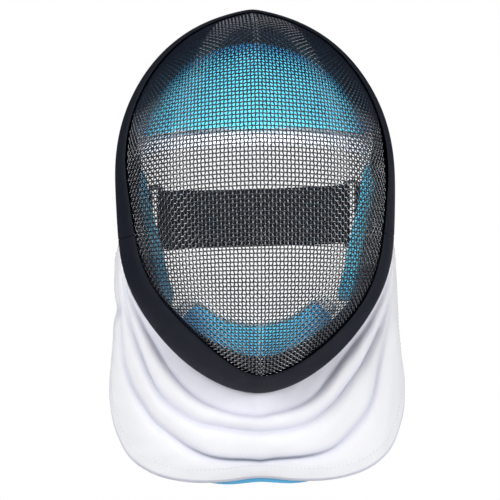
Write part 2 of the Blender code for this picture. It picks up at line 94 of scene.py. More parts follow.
forward = np.array([sin(VIEW_TURN), cos(VIEW_TURN), 0.0])
level = np.array([cos(VIEW_TURN), -sin(VIEW_TURN), 0.0])
upright = np.array([0.0, 0.0, 1.0])
aim = NOSE - level * AIM_SIDE - upright * AIM_DOWN
right = level * cos(VIEW_ROLL) - upright * sin(VIEW_ROLL)
up = upright * cos(VIEW_ROLL) + level * sin(VIEW_ROLL)

camera = new_object("camera", bpy.data.cameras.new("camera"))
turned = Matrix((right, up, -forward)).transposed().to_4x4()
camera.matrix_world = Matrix.Translation(Vector(aim - forward * VIEW_DISTANCE)) @ turned
camera.data.sensor_width = SENSOR
camera.data.lens = SENSOR * VIEW_DISTANCE / (PICTURE * PIXEL)
bpy.context.scene.camera = camera
print("lens", round(camera.data.lens, 1), "mm")

# %% [markdown]
# ## Shader and geometry trees as Python
# A node tree can be clicked together or written. Written, it is easier to read if sums look like sums, so one
# small class wraps an output and turns + - * / into Math nodes. Colours go through a Mix node instead, because
# Math would turn them grey.


# %% A tree that is written, not clicked
def both_ways(operation):
    """An operator for a socket and what follows it, and its reflection for a number that comes first."""
    return (
        lambda self, other: self.math(operation, self, other),
        lambda self, other: self.math(operation, other, self),
    )


class Socket:
    """An output in a node tree. Sums with it, also with a number first, add Math nodes."""

    def __init__(self, graph, output):
        self.graph, self.output = graph, output

    def math(self, operation, *values):
        return self.graph.node("ShaderNodeMath", {"operation": operation}, dict(enumerate(values)))

    __add__, __radd__ = both_ways("ADD")
    __sub__, __rsub__ = both_ways("SUBTRACT")
    __mul__, __rmul__ = both_ways("MULTIPLY")
    __truediv__, __rtruediv__ = both_ways("DIVIDE")

    def __abs__(self):
        return self.math("ABSOLUTE", self)

    def sine(self):
        return self.math("SINE", self)


class Graph:
    """A node tree. node() adds any node: its kind, its settings, then its sockets by number or by name."""

    def __init__(self, tree):
        self.tree = tree

    def node(self, kind, settings=(), numbered=(), out=0, **named):
        made = self.tree.nodes.new(kind)
        for key, value in dict(settings).items():
            setattr(made, key, value)
        self.set(made, numbered, **named)
        return Socket(self, made.outputs[out])

    def set(self, made, numbered=(), **named):
        """Gives sockets a value or a link. A name has _ for each space."""
        for key, value in {**dict(numbered), **named}.items():
            entry = made.inputs[key.replace("_", " ") if isinstance(key, str) else key]
            if isinstance(value, Socket):
                self.tree.links.new(value.output, entry)
            else:
                entry.default_value = value

    def blend(self, factor, low, high):
        """Mixes two colours."""
        low, high = (c if isinstance(c, Socket) else (*c, 1.0) for c in (low, high))
        return self.node("ShaderNodeMix", {"data_type": "RGBA"}, {0: factor, 6: low, 7: high}, out=2)


print("trees can be written")

# %% [markdown]
# ## Finishes
# Every finish starts from Blender's Principled shader. What is the same all over goes straight onto the
# shader's own sockets. What changes over the surface is made of a few parts that all cloths share: where on the
# piece we are, a slow mottle, and a weave that is a product of two sine waves, which is just what threads
# crossing over and under look like from above.

# %% The start of every finish
CLOTH = "cloth"  # each point's place on the cut cloth, in metres


class Finish(Graph):
    """A material with a Principled shader, whose sockets are given by name."""

    def __init__(self, name, **fixed):
        self.material = bpy.data.materials.new(name)
        self.material.use_nodes = True
        super().__init__(self.material.node_tree)
        self.shader = self.tree.nodes["Principled BSDF"]
        self.vary(**fixed)
        self.here = self.node("ShaderNodeTexCoord", out="Object")

    def vary(self, **sockets):
        self.set(self.shader, **sockets)
        return self

    def mottle(self, size, detail=2.0):
        """Slow, even noise from 0 to 1, with patches about this big."""
        return self.node("ShaderNodeTexNoise", Vector=self.here, Scale=1 / size, Detail=detail)

    def patchy(self, size, low, high):
        """Two colours in such patches."""
        return self.blend(self.mottle(size), low, high)

    def stored(self, name, out="Fac"):
        """What is stored on the mesh's points."""
        return self.node("ShaderNodeAttribute", {"attribute_name": name}, out=out)

    def waves(self, pitch, where=None):
        """The sine waves of the three coordinates, on the cut cloth unless told where."""
        where = where or self.stored(CLOTH, "Vector")
        split = self.node("ShaderNodeSeparateXYZ", (), {0: where}).output.node
        return [(Socket(self, output) * (2 * pi / pitch)).sine() for output in split.outputs]

    def weave(self, pitch, where=None):
        """Threads over and under."""
        across, along, _ = self.waves(pitch, where)
        return across * along * 0.5 + 0.5

    def bump(self, height, depth):
        """Raises the surface by this height, in metres."""
        return self.vary(Normal=self.node("ShaderNodeBump", Strength=1.0, Distance=depth, Height=height))


print("finishes can be written")

# %% [markdown]
# ### Painted steel, for the wires and the rings
# The wire is drawn steel, dipped black after weaving. Paint on a thin round wire is glossy where it ran smooth
# and dull where it dried in the crossings, so a fine mottle moves the roughness. Only a clear coat glints, and
# not the paint under it, so that the sides of a wire stay black. The coat is full at the chin and thinner over
# the forehead. This is painted shade: it dims the glints on the top wires, as if less light fell there.

# %% Painted steel
wire_paint = Finish("painted_wire", Specular_IOR_Level=0.0, Coat_IOR=2.05, Coat_Roughness=0.06)
speck = wire_paint.mottle(0.004)
# painted shade: the clear coat, and with it the glints, thins towards the top wires over the forehead
coat = wire_paint.node(
    "ShaderNodeMapRange", {"interpolation_type": "SMOOTHSTEP"},
    Value=wire_paint.node("ShaderNodeSeparateXYZ", (), {0: wire_paint.here}, out="Z"),
    From_Min=-0.110, From_Max=0.000, To_Min=1.0, To_Max=0.35,
)
paint_shade = wire_paint.blend(speck, (0.006, 0.008, 0.016), (0.014, 0.018, 0.030))
wire_paint.vary(Base_Color=paint_shade, Roughness=speck * 0.12 + 0.18, Coat_Weight=coat)

ring_paint = Finish("painted_ring", Metallic=0.8, Specular_IOR_Level=0.6)
scuff = ring_paint.mottle(0.006, 4.0)
scuffed = ring_paint.blend(scuff, (0.012, 0.012, 0.014), (0.050, 0.050, 0.055))
ring_paint.vary(Base_Color=scuffed, Roughness=scuff * 0.25 + 0.30)
print("painted steel:", wire_paint.material.name, ring_paint.material.name)

# %% [markdown]
# ### Vinyl, for the trim
# The trim is coated cloth with a fine leather grain. A Voronoi texture gives its small round cells, and the
# fold at the rim is painted a little lighter in patches, a painted highlight.

# %% Vinyl
vinyl = Finish("trim_vinyl", Specular_IOR_Level=0.07)
cells = vinyl.node("ShaderNodeTexVoronoi", {"feature": "F1"}, Vector=vinyl.here, Scale=1 / 0.0011)
dark_vinyl = vinyl.patchy(0.03, (0.0090, 0.0108, 0.0175), (0.0135, 0.0155, 0.0240))
# painted highlight: the fold at the rim is lighter in patches
edge_sheen = vinyl.blend(vinyl.stored("edge_sheen") * vinyl.mottle(0.012) * 0.8, dark_vinyl, (0.040, 0.044, 0.055))
vinyl.vary(Base_Color=edge_sheen, Roughness=vinyl.mottle(0.008) * 0.14 + 0.42).bump(cells, 0.00007)
print("vinyl:", vinyl.material.name)

# %% [markdown]
# ### White cloth, for the bib, the flaps and the bindings
# White cotton reads as white only if the shade in its folds is a cool lavender and not grey, so painted shade in
# a cool lavender lies in the folds and round the hem's edge, and a darker painted shadow along the hem's seam.
# A thread is 0.6 mm wide, finer than a pixel of the picture, but it shows in a close view.


# %% White cloths
def woven(name, patch, low, high, pitch, depth, on_cloth=True, **fixed):
    """A patchy cloth with raised threads. They run along the cut cloth, or straight through a tape."""
    made = Finish(name, **fixed)
    made.bump(made.weave(pitch, None if on_cloth else made.here), depth)
    return made.vary(Base_Color=made.patchy(patch, low, high))


bib_cotton = Finish("bib_cotton", Roughness=0.85, Sheen_Weight=0.15, Sheen_Roughness=0.4)
threads = bib_cotton.weave(0.0012)
white = bib_cotton.patchy(0.05, (0.860, 0.862, 0.905), (0.890, 0.892, 0.925))
# painted shade: lavender in the folds, and a dark painted shadow along the hem's seam
for hollow, shade in (("fold_shade", (0.60, 0.61, 0.73)), ("hem_seam_shade", (0.26, 0.28, 0.36))):
    white = bib_cotton.blend(bib_cotton.stored(hollow), white, shade)
white = bib_cotton.blend(threads * 0.10, white, (0.74, 0.74, 0.79))
bib_cotton.vary(Base_Color=white).bump(threads, 0.00012)

flap_cotton = woven("flap_cotton", 0.03, (0.74, 0.75, 0.78), (0.83, 0.83, 0.86), 0.0014, 0.00012,
                    Roughness=0.85, Sheen_Weight=0.1)
# painted shade: the crown's white tape is coloured grey, as it lies in shade
shaded_tape = woven("binding_tape", 0.01, (0.56, 0.58, 0.64), (0.64, 0.66, 0.72), 0.0018, 0.00018, False,
             Roughness=0.80, Sheen_Weight=0.2)
jaw_tape = woven("jaw_tape", 0.01, (0.84, 0.83, 0.82), (0.90, 0.89, 0.88), 0.0018, 0.00018, False,
                 Roughness=0.80, Sheen_Weight=0.3)
cover_twill = woven("cover_twill", 0.04, (0.50, 0.52, 0.56), (0.60, 0.62, 0.66), 0.0015, 0.00014,
                    Roughness=0.80, Sheen_Weight=0.1)
thread = Finish("white_thread", Roughness=0.6, Sheen_Weight=0.3)
thread.vary(Base_Color=thread.patchy(0.002, (0.66, 0.66, 0.74), (0.80, 0.80, 0.86)))
print("white cloths:", bib_cotton.material.name, flap_cotton.material.name, shaded_tape.material.name)

# %% [markdown]
# ### Blue lining, for the pads
# The pads are faced with a soft knitted spacer cloth, cyan where it is stretched over the foam, with painted
# shade in a deeper blue where it turns away into its seams. The part that turns up to the rim is painted shade
# too, nearly black. A pad has no cut cloth, so its dimples come from the waves of all three coordinates.

# %% Blue linings
pad_knit = Finish("pad_knit", Roughness=0.85, Specular_IOR_Level=0.15)
wave_x, wave_y, wave_z = pad_knit.waves(0.0024, pad_knit.here)
loops = (wave_x * wave_y + wave_y * wave_z + wave_z * wave_x) * 0.25 + 0.5
blue = pad_knit.patchy(0.02, (0.085, 0.550, 0.740), (0.120, 0.630, 0.820))
# painted shade: a deeper blue where the knit turns away into its seams
blue = pad_knit.blend(pad_knit.stored("seam"), blue, (0.018, 0.230, 0.560))
blue = pad_knit.blend(loops * 0.30, blue, (0.030, 0.330, 0.560))
# painted shade: the part that turns up to the rim is nearly black
blue = pad_knit.blend(pad_knit.stored("turned"), blue, (0.006, 0.008, 0.014))
pad_knit.vary(Base_Color=blue).bump(loops, 0.00025)

lining_cotton = woven("lining_cotton", 0.02, (0.10, 0.50, 0.86), (0.14, 0.56, 0.90), 0.0012, 0.0001,
                      Roughness=0.8, Sheen_Weight=0.15)
print("blue linings:", pad_knit.material.name, lining_cotton.material.name)

# %% [markdown]
# ### Black elastic, and a black band for painted shade
# Woven elastic has ribs along its length, where rubber cords run, crossed by much finer threads. The band
# that stands for the shade inside the rim is black with a fine mottle, like a pile of tiny loops.

# %% Black elastic and the painted shade band
elastic = Finish("ribbed_elastic", Roughness=0.80, Specular_IOR_Level=0.12)
ribs = abs(elastic.waves(0.0024)[1]) * 0.75 + abs(elastic.waves(0.0008)[0]) * 0.25
elastic.vary(Base_Color=elastic.blend(ribs, (0.001, 0.001, 0.002), (0.005, 0.005, 0.007))).bump(ribs, 0.0003)

# painted shade: a black band that stands for the shade behind the wires' edge
loop_pile = Finish("loop_pile", Roughness=0.95, Specular_IOR_Level=0.1)
pile = loop_pile.mottle(0.0012, 3.0)
loop_pile.vary(Base_Color=loop_pile.blend(pile, (0.002, 0.002, 0.003), (0.012, 0.013, 0.017))).bump(pile, 0.0004)
print("black:", elastic.material.name, loop_pile.material.name)

# %% [markdown]
# ## The face as a surface law
# A table of the rim, by angle about the nose, says how far away it is, how steeply the face has turned back
# there, and how late it starts to. Between nose and rim the slope grows as a power of the way, and adding the
# slopes up gives the depth. A crease that fades to both sides is added to that. The same law is in the part's
# source, so all pieces fit. Here it is also put into a table of depths, because the wires ask for it thousands
# of times.


# %% Smooth curves through a table
def notes(columns, text):
    """A table of measurements, one row to a line."""
    return np.array(text.split(), float).reshape(-1, columns)


RIM = notes(4, """
    -90  0.1463  68.0  1.63
    -75  0.1401  67.5  1.60
    -60  0.1295  67.0  1.51
    -45  0.1204  67.5  1.43
    -30  0.1133  69.0  1.35
    -15  0.1067  72.0  1.31
      0  0.1049  74.5  1.34
     15  0.1094  76.5  1.40
     30  0.1170  78.0  1.53
     45  0.1263  79.5  1.65
     60  0.1363  81.0  1.79
     75  0.1449  82.5  1.89
     90  0.1503  83.0  1.93
""")  # angle, reach, slope at the rim, how late it bends


def spline(knots, values):
    """A smooth curve through the knots, free at both ends. It also takes arrays."""
    gaps = np.diff(knots)
    rises = np.diff(values) / gaps
    count = len(knots)
    system, known = np.eye(count), np.zeros(count)
    for i in range(1, count - 1):
        system[i, i - 1 : i + 2] = gaps[i - 1], 2 * (gaps[i - 1] + gaps[i]), gaps[i]
        known[i] = 6 * (rises[i] - rises[i - 1])
    bends = np.linalg.solve(system, known)

    def at(where):
        i = np.clip(np.searchsorted(knots, where) - 1, 0, count - 2)
        step, into = gaps[i], where - knots[i]
        slope = rises[i] - step * (2 * bends[i] + bends[i + 1]) / 6
        curl = (bends[i + 1] - bends[i]) / (6 * step)
        return values[i] + into * (slope + into * (bends[i] / 2 + into * curl))

    return at


def curves(table, mirrored=False):
    """A curve for each column of a table, against its first. A mirrored one runs level at the chin."""
    knots, *columns = table.T
    beyond = slice(3, 0, -1) if mirrored else slice(0)
    knots = np.append(-180 - knots[beyond], knots)
    return [spline(knots, np.append(column[beyond], column)) for column in columns]


rim_reach, rim_slope, rim_bend = curves(RIM, mirrored=True)
print("the rim is", round(float(rim_reach(0)), 4), "m from the nose at the ear")

# %% The face as a surface law
CREASE_SLOPE, CREASE_WIDTH = 0.50, 0.030
ANGLES = np.linspace(-90, 90, 361)
SHARES = np.linspace(0, 1.12, 225)
leans = np.radians(rim_slope(ANGLES))[:, None] * np.minimum(SHARES, 1)[None, :] ** rim_bend(ANGLES)[:, None]
steeps = np.tan(leans)
falls = np.cumsum((steeps[:, 1:] + steeps[:, :-1]) / 2, axis=1) * SHARES[1]
DEPTHS = np.pad(falls, ((0, 0), (1, 0))) * rim_reach(ANGLES)[:, None]


def face_depth(side, height):
    """How deep the face lies at a place seen from the front, its height over the nose, and its share of the rim."""
    side, height = np.abs(np.nan_to_num(side)), np.nan_to_num(height)
    angle = np.degrees(np.arctan2(height, side))
    share = np.hypot(side, height) / rim_reach(angle)
    row = np.clip((angle + 90) / (ANGLES[1] - ANGLES[0]), 0, len(ANGLES) - 1.001)
    column = np.clip(share / SHARES[1], 0, len(SHARES) - 1.001)
    i, j = row.astype(int), column.astype(int)
    a, b = row - i, column - j
    near = DEPTHS[i, j] * (1 - b) + DEPTHS[i, j + 1] * b
    far = DEPTHS[i + 1, j] * (1 - b) + DEPTHS[i + 1, j + 1] * b
    return near * (1 - a) + far * a + CREASE_SLOPE * CREASE_WIDTH * (1 - np.exp(-side / CREASE_WIDTH)), share


def on_face(side, height):
    """Points of the face's wire wall, seen from the front, height over the nose."""
    return place(side, face_depth(side, height)[0], NOSE_HEIGHT + height)


print("depths at chin, ear and crown, without the crease:", DEPTHS[::180, np.searchsorted(SHARES, 1)].round(4))

# %% [markdown]
# ### Beside the rim
# Trim, bib, cover and pads are all sewn to the rim, so one function gives any point near it: so far inside the
# rim along the wire wall, and so far out from it.


# %% Beside the rim
@cache
def rim_line(angle):
    """The last third of the line from the nose to the rim: points and their distance from the rim."""
    reach = rim_reach(angle) * np.linspace(0.66, 1, 35)
    points = on_face(reach * cos(radians(angle)), reach * sin(radians(angle)))
    lengths = np.linalg.norm(np.diff(points, axis=0), axis=1)
    return points, np.append(np.cumsum(lengths[::-1])[::-1], 0)


@cache
def rim_frame(angle, inside):
    """Point, outward normal and rimward direction, this far inside the rim (outside it if negative)."""
    turn = 0.5 if angle < 89 else -0.5
    where = max(inside, 0.0)

    def along(angle, where):
        line, distances = rim_line(angle)
        return np.array([np.interp(-where, -distances, line[:, axis]) for axis in range(3)])

    point = along(angle, where)
    rimward = unit(point - along(angle, where + 0.001))
    normal = unit(np.cross((along(angle + turn, where) - point) / turn, rimward))
    normal = -normal if normal[1] > 0 else normal
    return point + rimward * max(-inside, 0.0), normal, rimward


def beside_rim(angle, inside, proud, side=1):
    """A point this far inside the rim and this far out from the middle of the wire wall."""
    point, normal, _ = rim_frame(float(angle), float(inside))
    point = point + normal * proud
    return np.array([0.0 if abs(angle) == 90 else side * point[0], point[1], point[2]])


def both_sides(half):
    """Stations (angle, side) round the rim, from half's far end on the left to its far end on the right."""
    return [(float(a), -1) for a in half[:0:-1]] + [(float(a), 1) for a in half]


print("the rim at the ear:", beside_rim(0, 0, 0).round(4).tolist())

# %% [markdown]
# ## Weaving the wires
# Cloth of wire can't stretch: when it is pressed over a form, its cells keep their sides and only lean over,
# as a fishing net does. Drawing straight lines over the form from the front would miss that, and the leaning
# cells near the rim are what makes a mask look like one. So the net is built the way the metal does it. One
# wire lies on the crease, one lies across it, and from there each new crossing is the point of the surface that
# is one cell away from both its neighbours.

# %% Steps and crossings
PITCH = 0.0031
WEAVE_START = -0.078  # the level wire that the net starts from, relative to the nose
NET_EDGE = 1.05  # the net is built a little past the rim
NUDGE, TINY = 1e-5, 1e-12


def walk(direction, count):
    """Steps of one cell along the face, from the start of the net."""
    places = [np.array([0.0, WEAVE_START])]
    for _ in range(count):
        here = places[-1]
        heading, stride = direction(here), PITCH
        for _ in range(10):
            there = here + heading * stride
            stride *= PITCH / np.linalg.norm(on_face(*there) - on_face(*here))
        places.append(here + heading * stride)
    places = np.array(places)
    return places[face_depth(*places.T)[1] < NET_EDGE]


def next_crossings(corner, first, second):
    """The places one cell from both neighbours, away from the corner behind them, by Newton's method."""
    places = first + second - corner
    reach = [on_face(*first.T), on_face(*second.T)]
    for _ in range(8):
        here = on_face(*places.T)
        slopes = [(on_face(*(places + step).T) - here) / NUDGE for step in ([NUDGE, 0], [0, NUDGE])]
        gap_a, gap_b = (np.sum((here - point) ** 2, axis=1) - PITCH**2 for point in reach)
        a, b = ([2 * np.sum((here - point) * slope, axis=1) for slope in slopes] for point in reach)
        scale = a[0] * b[1] - a[1] * b[0]
        scale = np.where(np.abs(scale) < TINY, TINY, scale)
        move = np.stack([(gap_a * b[1] - gap_b * a[1]) / scale, (gap_b * a[0] - gap_a * b[0]) / scale], axis=1)
        length = np.linalg.norm(move, axis=1, keepdims=True)
        places = places - move * np.minimum(1, PITCH / 2 / np.maximum(length, TINY))
    misses = [np.abs(np.linalg.norm(on_face(*places.T) - point, axis=1) - PITCH) for point in reach]
    lost = (np.maximum(*misses) > 2 * NUDGE) | (places[:, 0] < 0) | (face_depth(*places.T)[1] > NET_EDGE)
    places[lost] = np.nan
    return places


print("cells are", PITCH, "m wide")

# %% The net of crossings
WEAVE_DROOP = 0.3  # how the level wire sags to the sides
WIRE_END = 0.99  # the wires are cut just within the rim
CELLS_UP, CELLS_DOWN, CELLS_ASIDE = 110, 80, 75  # more than enough on each side of the start


def quarter(crease, level_wire):
    """All crossings between the crease and the level wire, [across, along]."""
    across, along = len(level_wire), len(crease)
    net = np.full((across, along, 2), np.nan)
    net[:, 0], net[0, :] = level_wire, crease
    for diagonal in range(2, across + along - 1):
        i = np.arange(max(1, diagonal - along + 1), min(across, diagonal))
        j = diagonal - i
        corner, first, second = net[i - 1, j - 1], net[i - 1, j], net[i, j - 1]
        known = np.isfinite(corner + first + second).all(axis=1)
        if known.any():
            net[i[known], j[known]] = next_crossings(corner[known], first[known], second[known])
    return net


crease_up = walk(lambda here: np.array([0.0, 1.0]), CELLS_UP)
crease_down = walk(lambda here: np.array([0.0, -1.0]), CELLS_DOWN)
level_wire = walk(lambda here: np.array([1.0, -2 * WEAVE_DROOP * here[0]]), CELLS_ASIDE)
above, below = quarter(crease_up, level_wire), quarter(crease_down, level_wire)
net = np.concatenate([below[:, :0:-1], above], axis=1)
net[face_depth(net[..., 0], net[..., 1])[1] > WIRE_END] = np.nan
print("crossings on one half:", int(np.isfinite(net[..., 0]).sum()), "in a net of", net.shape[:2])

# %% [markdown]
# ### From crossings to round wires
# Each wire goes over and under its neighbours in turn. Its line gets two points at every crossing, and each
# point knows which way is out and whether the wire is over or under there.

# %% Lines with over and under
CROSSING_HALF = 0.22  # of a cell: how far the wire stays level to each side of a crossing
SIDE_STEP = 1e-4

sides, heights = net[..., 0], net[..., 1]
depths = face_depth(sides, heights)[0]
tilt_side = (face_depth(sides + SIDE_STEP, heights)[0] - depths) / SIDE_STEP
tilt_up = (face_depth(sides, heights + SIDE_STEP)[0] - depths) / SIDE_STEP
tilt_side[0] = 0.0
outwards = unit(np.stack([tilt_side, -np.ones_like(tilt_side), tilt_up], axis=-1))
crossings = on_face(sides, heights)
crossings[np.isnan(sides)] = np.nan
crossings, outwards = (
    np.concatenate([half[:0:-1] * np.array([-1.0, 1.0, 1.0]), half]) for half in (crossings, outwards)
)
middle = len(sides) - 1
over = np.where(np.add.outer(np.arange(len(crossings)), np.arange(crossings.shape[1])) % 2, 1.0, -1.0)


def plain_mesh(name, points, edges=(), faces=()):
    mesh = bpy.data.meshes.new(name)
    mesh.from_pydata([tuple(p) for p in points], edges, faces)
    return mesh


def mark(holder, name, values):
    """Stores a number, or a vector, on each point of a mesh or an object."""
    values = np.asarray(values, np.float32)
    kind, field = ("FLOAT", "value") if values.ndim == 1 else ("FLOAT_VECTOR", "vector")
    mesh = getattr(holder, "data", holder)
    mesh.attributes.new(name, kind, "POINT").data.foreach_set(field, values.ravel())
    return holder


def wire_lines(points, outs, overs):
    """A mesh of loose lines along the first axis of a piece of the net, where it has crossings."""
    verts, lifts, ups, edges = [], [], [], []
    for line, out, lift in zip(points, outs, overs):
        kept = np.flatnonzero(np.isfinite(line[:, 0]))
        if len(kept) < 3:
            continue
        line, out, lift = (values[kept[0] : kept[-1] + 1] for values in (line, out, lift))
        level = np.gradient(line, axis=0) * CROSSING_HALF
        edges += [(n, n + 1) for n in range(len(verts), len(verts) + 2 * len(line) - 1)]
        verts += [*np.stack([line - level, line + level], axis=1).reshape(-1, 3)]
        lifts += [*np.repeat(lift, 2)]
        ups += [*np.repeat(out, 2, axis=0)]
    return mark(mark(plain_mesh("wire_lines", verts, edges), "over", lifts), "outward", ups)


print("wires upright:", len(crossings), "level:", crossings.shape[1])

# %% [markdown]
# ### A tree for round bars
# Wires and rings are both round bars along a line. A Geometry Nodes tree lifts the points by over and under,
# turns the lines into curves and sweeps a round profile along them. Six sides are enough for a wire that is
# little more than a pixel wide, and a ring gets more. What the tree grows is then made a plain mesh.


# %% A tree for round bars, and how trees are run
def new_tree(name, **sockets):
    """A Geometry Nodes tree with named inputs: its graph, what it is given, and a function that closes it."""
    tree = bpy.data.node_groups.new(name, "GeometryNodeTree")
    graph, sockets = Graph(tree), {"Geometry": "Geometry", **sockets}
    for label, kind in sockets.items():
        tree.interface.new_socket(label.replace("_", " "), in_out="INPUT", socket_type="NodeSocket" + kind)
    tree.interface.new_socket("Geometry", in_out="OUTPUT", socket_type="NodeSocketGeometry")
    entry = tree.nodes.new("NodeGroupInput")
    given = {label: Socket(graph, entry.outputs[label.replace("_", " ")]) for label in sockets}

    def close(shape):
        smooth = graph.node("GeometryNodeSetShadeSmooth", Geometry=shape)
        real = graph.node("GeometryNodeRealizeInstances", Geometry=smooth)
        painted = graph.node("GeometryNodeSetMaterial", Geometry=real, Material=given["Material"])
        tree.links.new(painted.output, tree.nodes.new("NodeGroupOutput").inputs["Geometry"])
        print("tree:", name)
        return tree

    return graph, given, close


def flattened(obj):
    """Turns what the modifiers make of an object into its plain mesh."""
    bpy.context.view_layer.update()
    graph = bpy.context.evaluated_depsgraph_get()
    mesh = bpy.data.meshes.new_from_object(obj.evaluated_get(graph), depsgraph=graph)
    obj.modifiers.clear()
    obj.data = mesh
    return obj


def grown(name, tree, base, **values):
    """Runs a tree on a base mesh. Inputs are named as in the tree, with _ for a space."""
    obj = new_object(name, base)
    growth = obj.modifiers.new("Growth", "NODES")
    growth.node_group = tree
    for item in tree.interface.items_tree:
        key = item.name.replace(" ", "_")
        if item.in_out == "INPUT" and key in values:
            growth[item.identifier] = values[key]
    return flattened(obj)


graph, given, close = new_tree("woven_wires", Wire_radius="Float", Crimp="Float", Sides="Int", Material="Material")
named = "GeometryNodeInputNamedAttribute"
outward = graph.node(named, {"data_type": "FLOAT_VECTOR"}, Name="outward", out="Attribute")
over_under = graph.node(named, {"data_type": "FLOAT"}, Name="over", out="Attribute")
lift = graph.node("ShaderNodeVectorMath", {"operation": "SCALE"}, {0: outward}, Scale=over_under * given["Crimp"])
crimped = graph.node("GeometryNodeSetPosition", Geometry=given["Geometry"], Offset=lift)
line = graph.node("GeometryNodeMeshToCurve", Mesh=crimped)
profile = graph.node("GeometryNodeCurvePrimitiveCircle", Resolution=given["Sides"], Radius=given["Wire_radius"])
weaving = close(graph.node("GeometryNodeCurveToMesh", Curve=line, Profile_Curve=profile, Fill_Caps=True))

# %% [markdown]
# ### The four sheets of wire
# A piece should stay under 200,000 triangles, so the upright wires are two pieces, left and right of the
# crease, and the level wires are two, above and below the nose.

# %% The wires
WIRE_RADIUS, CRIMP = 0.00058, 0.00055


def dress(obj, slot, *nodes):
    """Lets a piece ride on the mask and stand for CAD nodes. Its slot is not used."""
    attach(obj, "root")
    if nodes:
        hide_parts(*nodes)
    print(f"{obj.name}: {sum(len(p.vertices) - 2 for p in obj.data.polygons)} triangles")
    return obj


def weave_wires(name, part, flip=False):
    """One sheet of wire from a part of the net."""
    net_parts = crossings, outwards, -over if flip else over
    base = wire_lines(*((np.swapaxes(values, 0, 1) if flip else values)[part] for values in net_parts))
    made = grown(name, weaving, base, Wire_radius=WIRE_RADIUS, Crimp=CRIMP, Sides=6, Material=wire_paint.material)
    dress(made, "wire_cloth", "wire_mesh_face")


nose_row = int(np.nanargmin(np.abs(crossings[middle, :, 2] - NOSE[2])))
weave_wires("wires_upright_left", slice(middle))
weave_wires("wires_upright_right", slice(middle, None))
weave_wires("wires_level_upper", slice(nose_row, None), flip=True)
weave_wires("wires_level_lower", slice(nose_row), flip=True)

# %% [markdown]
# ## The trim
# The rim of the wire is sharp, so a strip of vinyl is folded round it, with a wide leg outside and a short one
# inside. It is modelled as its cross-section, carried round the rim. Under the chin the strip is wider and
# fuller, and this one was sewn wider on the left of the picture, so the section takes its widths and its bulk
# from a table.

# %% The trim's cross-section
MESH_WALL = 0.0020
TRIM_CLEAR, TRIM_WALL, TRIM_TURN_IN, TRIM_EDGE = 0.0008, 0.0018, 0.012, 0.0036
EDGE_ROUND = 0.0008
UPPER_TRIM = notes(4, """
    -16.5  0.0299  0.0209  0.0020
      0    0.0275  0.0187  0.0015
     30    0.0240  0.0205  0.0008
     60    0.0230  0.0230  0.0003
     90    0.0230  0.0230  0.0000
""")  # angle, width on the left, width on the right, bulk
CHIN_TRIM = notes(4, """
    -90    0.0268  0.0268  0.0022
    -75    0.0400  0.0285  0.0022
    -60    0.0398  0.0255  0.0022
    -45    0.0345  0.0205  0.0022
    -30    0.0312  0.0212  0.0022
    -16.5  0.0299  0.0209  0.0020
""")


def trim_section(width, bulk):
    """The folded strip as (inside the rim, proud of the wire, how much painted highlight it has there)."""
    near = MESH_WALL / 2 + TRIM_CLEAR
    far = near + TRIM_WALL
    full = far + bulk
    return [
        (width, near, 0.0),
        (width + EDGE_ROUND / 4, far - EDGE_ROUND, 0.2),
        (width - EDGE_ROUND, far, 0.4),
        (width * 0.72, far + bulk * 0.3, 0.0),
        (width * 0.45, far + bulk * 0.6, 0.0),
        (width * 0.2, far + bulk * 0.85, 0.1),
        (0.0, full, 0.3),
        (-TRIM_EDGE * 0.55, full * 0.82, 0.9),
        (-TRIM_EDGE * 0.92, full * 0.42, 1.0),
        (-TRIM_EDGE, 0.0, 0.7),
        (-TRIM_EDGE * 0.72, -far * 0.72, 0.3),
        (0.0, -far, 0.1),
        (TRIM_TURN_IN * 0.5, -far, 0.0),
        (TRIM_TURN_IN - EDGE_ROUND, -far, 0.1),
        (TRIM_TURN_IN, -far + 0.0007, 0.2),
        (TRIM_TURN_IN, -near, 0.0),
        (TRIM_TURN_IN * 0.5, -near, 0.0),
        (-TRIM_CLEAR, -near, 0.0),
        (-TRIM_CLEAR, near, 0.0),
        (width * 0.5, near, 0.0),
    ]


print("the section has", len(trim_section(0.02, 0.002)), "corners")

# %% [markdown]
# ### From points to faces
# Most pieces of the mask are rows of points. A mesh takes the points and each face's corners, so one function
# for a grid and one for a closed tube make them all, and modifiers smooth them and give them walls.


# %% From points to faces
def grid_faces(rows, columns, around=False):
    """Quads between the rows of a grid, closed around its columns where it is a tube."""
    corners = ((i * columns, j, (j + 1) % columns) for i in range(rows - 1) for j in range(columns - (not around)))
    return [(row + j, row + k, row + columns + k, row + columns + j) for row, j, k in corners]


def new_mesh(name, points, faces, finish):
    mesh = plain_mesh(name, points, (), faces)
    mesh.materials.append(finish.material)
    mesh.shade_smooth()
    return new_object(name, mesh)


def tube(name, loops, finish, zipped=False):
    """A closed tube through loops of points. Its ends are flat, or zipped where a loop comes back on itself."""
    rows, columns = np.shape(loops)[:2]
    faces = grid_faces(rows, columns, around=True)
    for start in (0, (rows - 1) * columns):
        if zipped:
            pairs = ((i, columns - 1 - i) for i in range(columns // 2 - 1))
            faces += [(start + i, start + i + 1, start + k - 1, start + k) for i, k in pairs]
        else:
            faces.append(tuple(range(start, start + columns)))
    made = new_mesh(name, np.reshape(loops, (-1, 3)), faces, finish)
    shape = bmesh.new()
    shape.from_mesh(made.data)
    bmesh.ops.recalc_face_normals(shape, faces=shape.faces)
    shape.to_mesh(made.data)
    shape.free()
    return made


def modified(obj, kind, **settings):
    """Puts a modifier on an object, with these settings."""
    made = obj.modifiers.new(kind.title(), kind)
    for key, value in settings.items():
        setattr(made, key, value)
    return obj


def subdivided(obj, levels=1):
    return modified(obj, "SUBSURF", levels=levels, render_levels=levels)


print("points can become tubes and sheets")

# %% The two trims
TRIM_JOINT, JOINT_GAP = -16.5, 0.04
STATION_STEP, END_STEP = 2.5, 0.12  # degrees: the second keeps an end square when it is smoothed


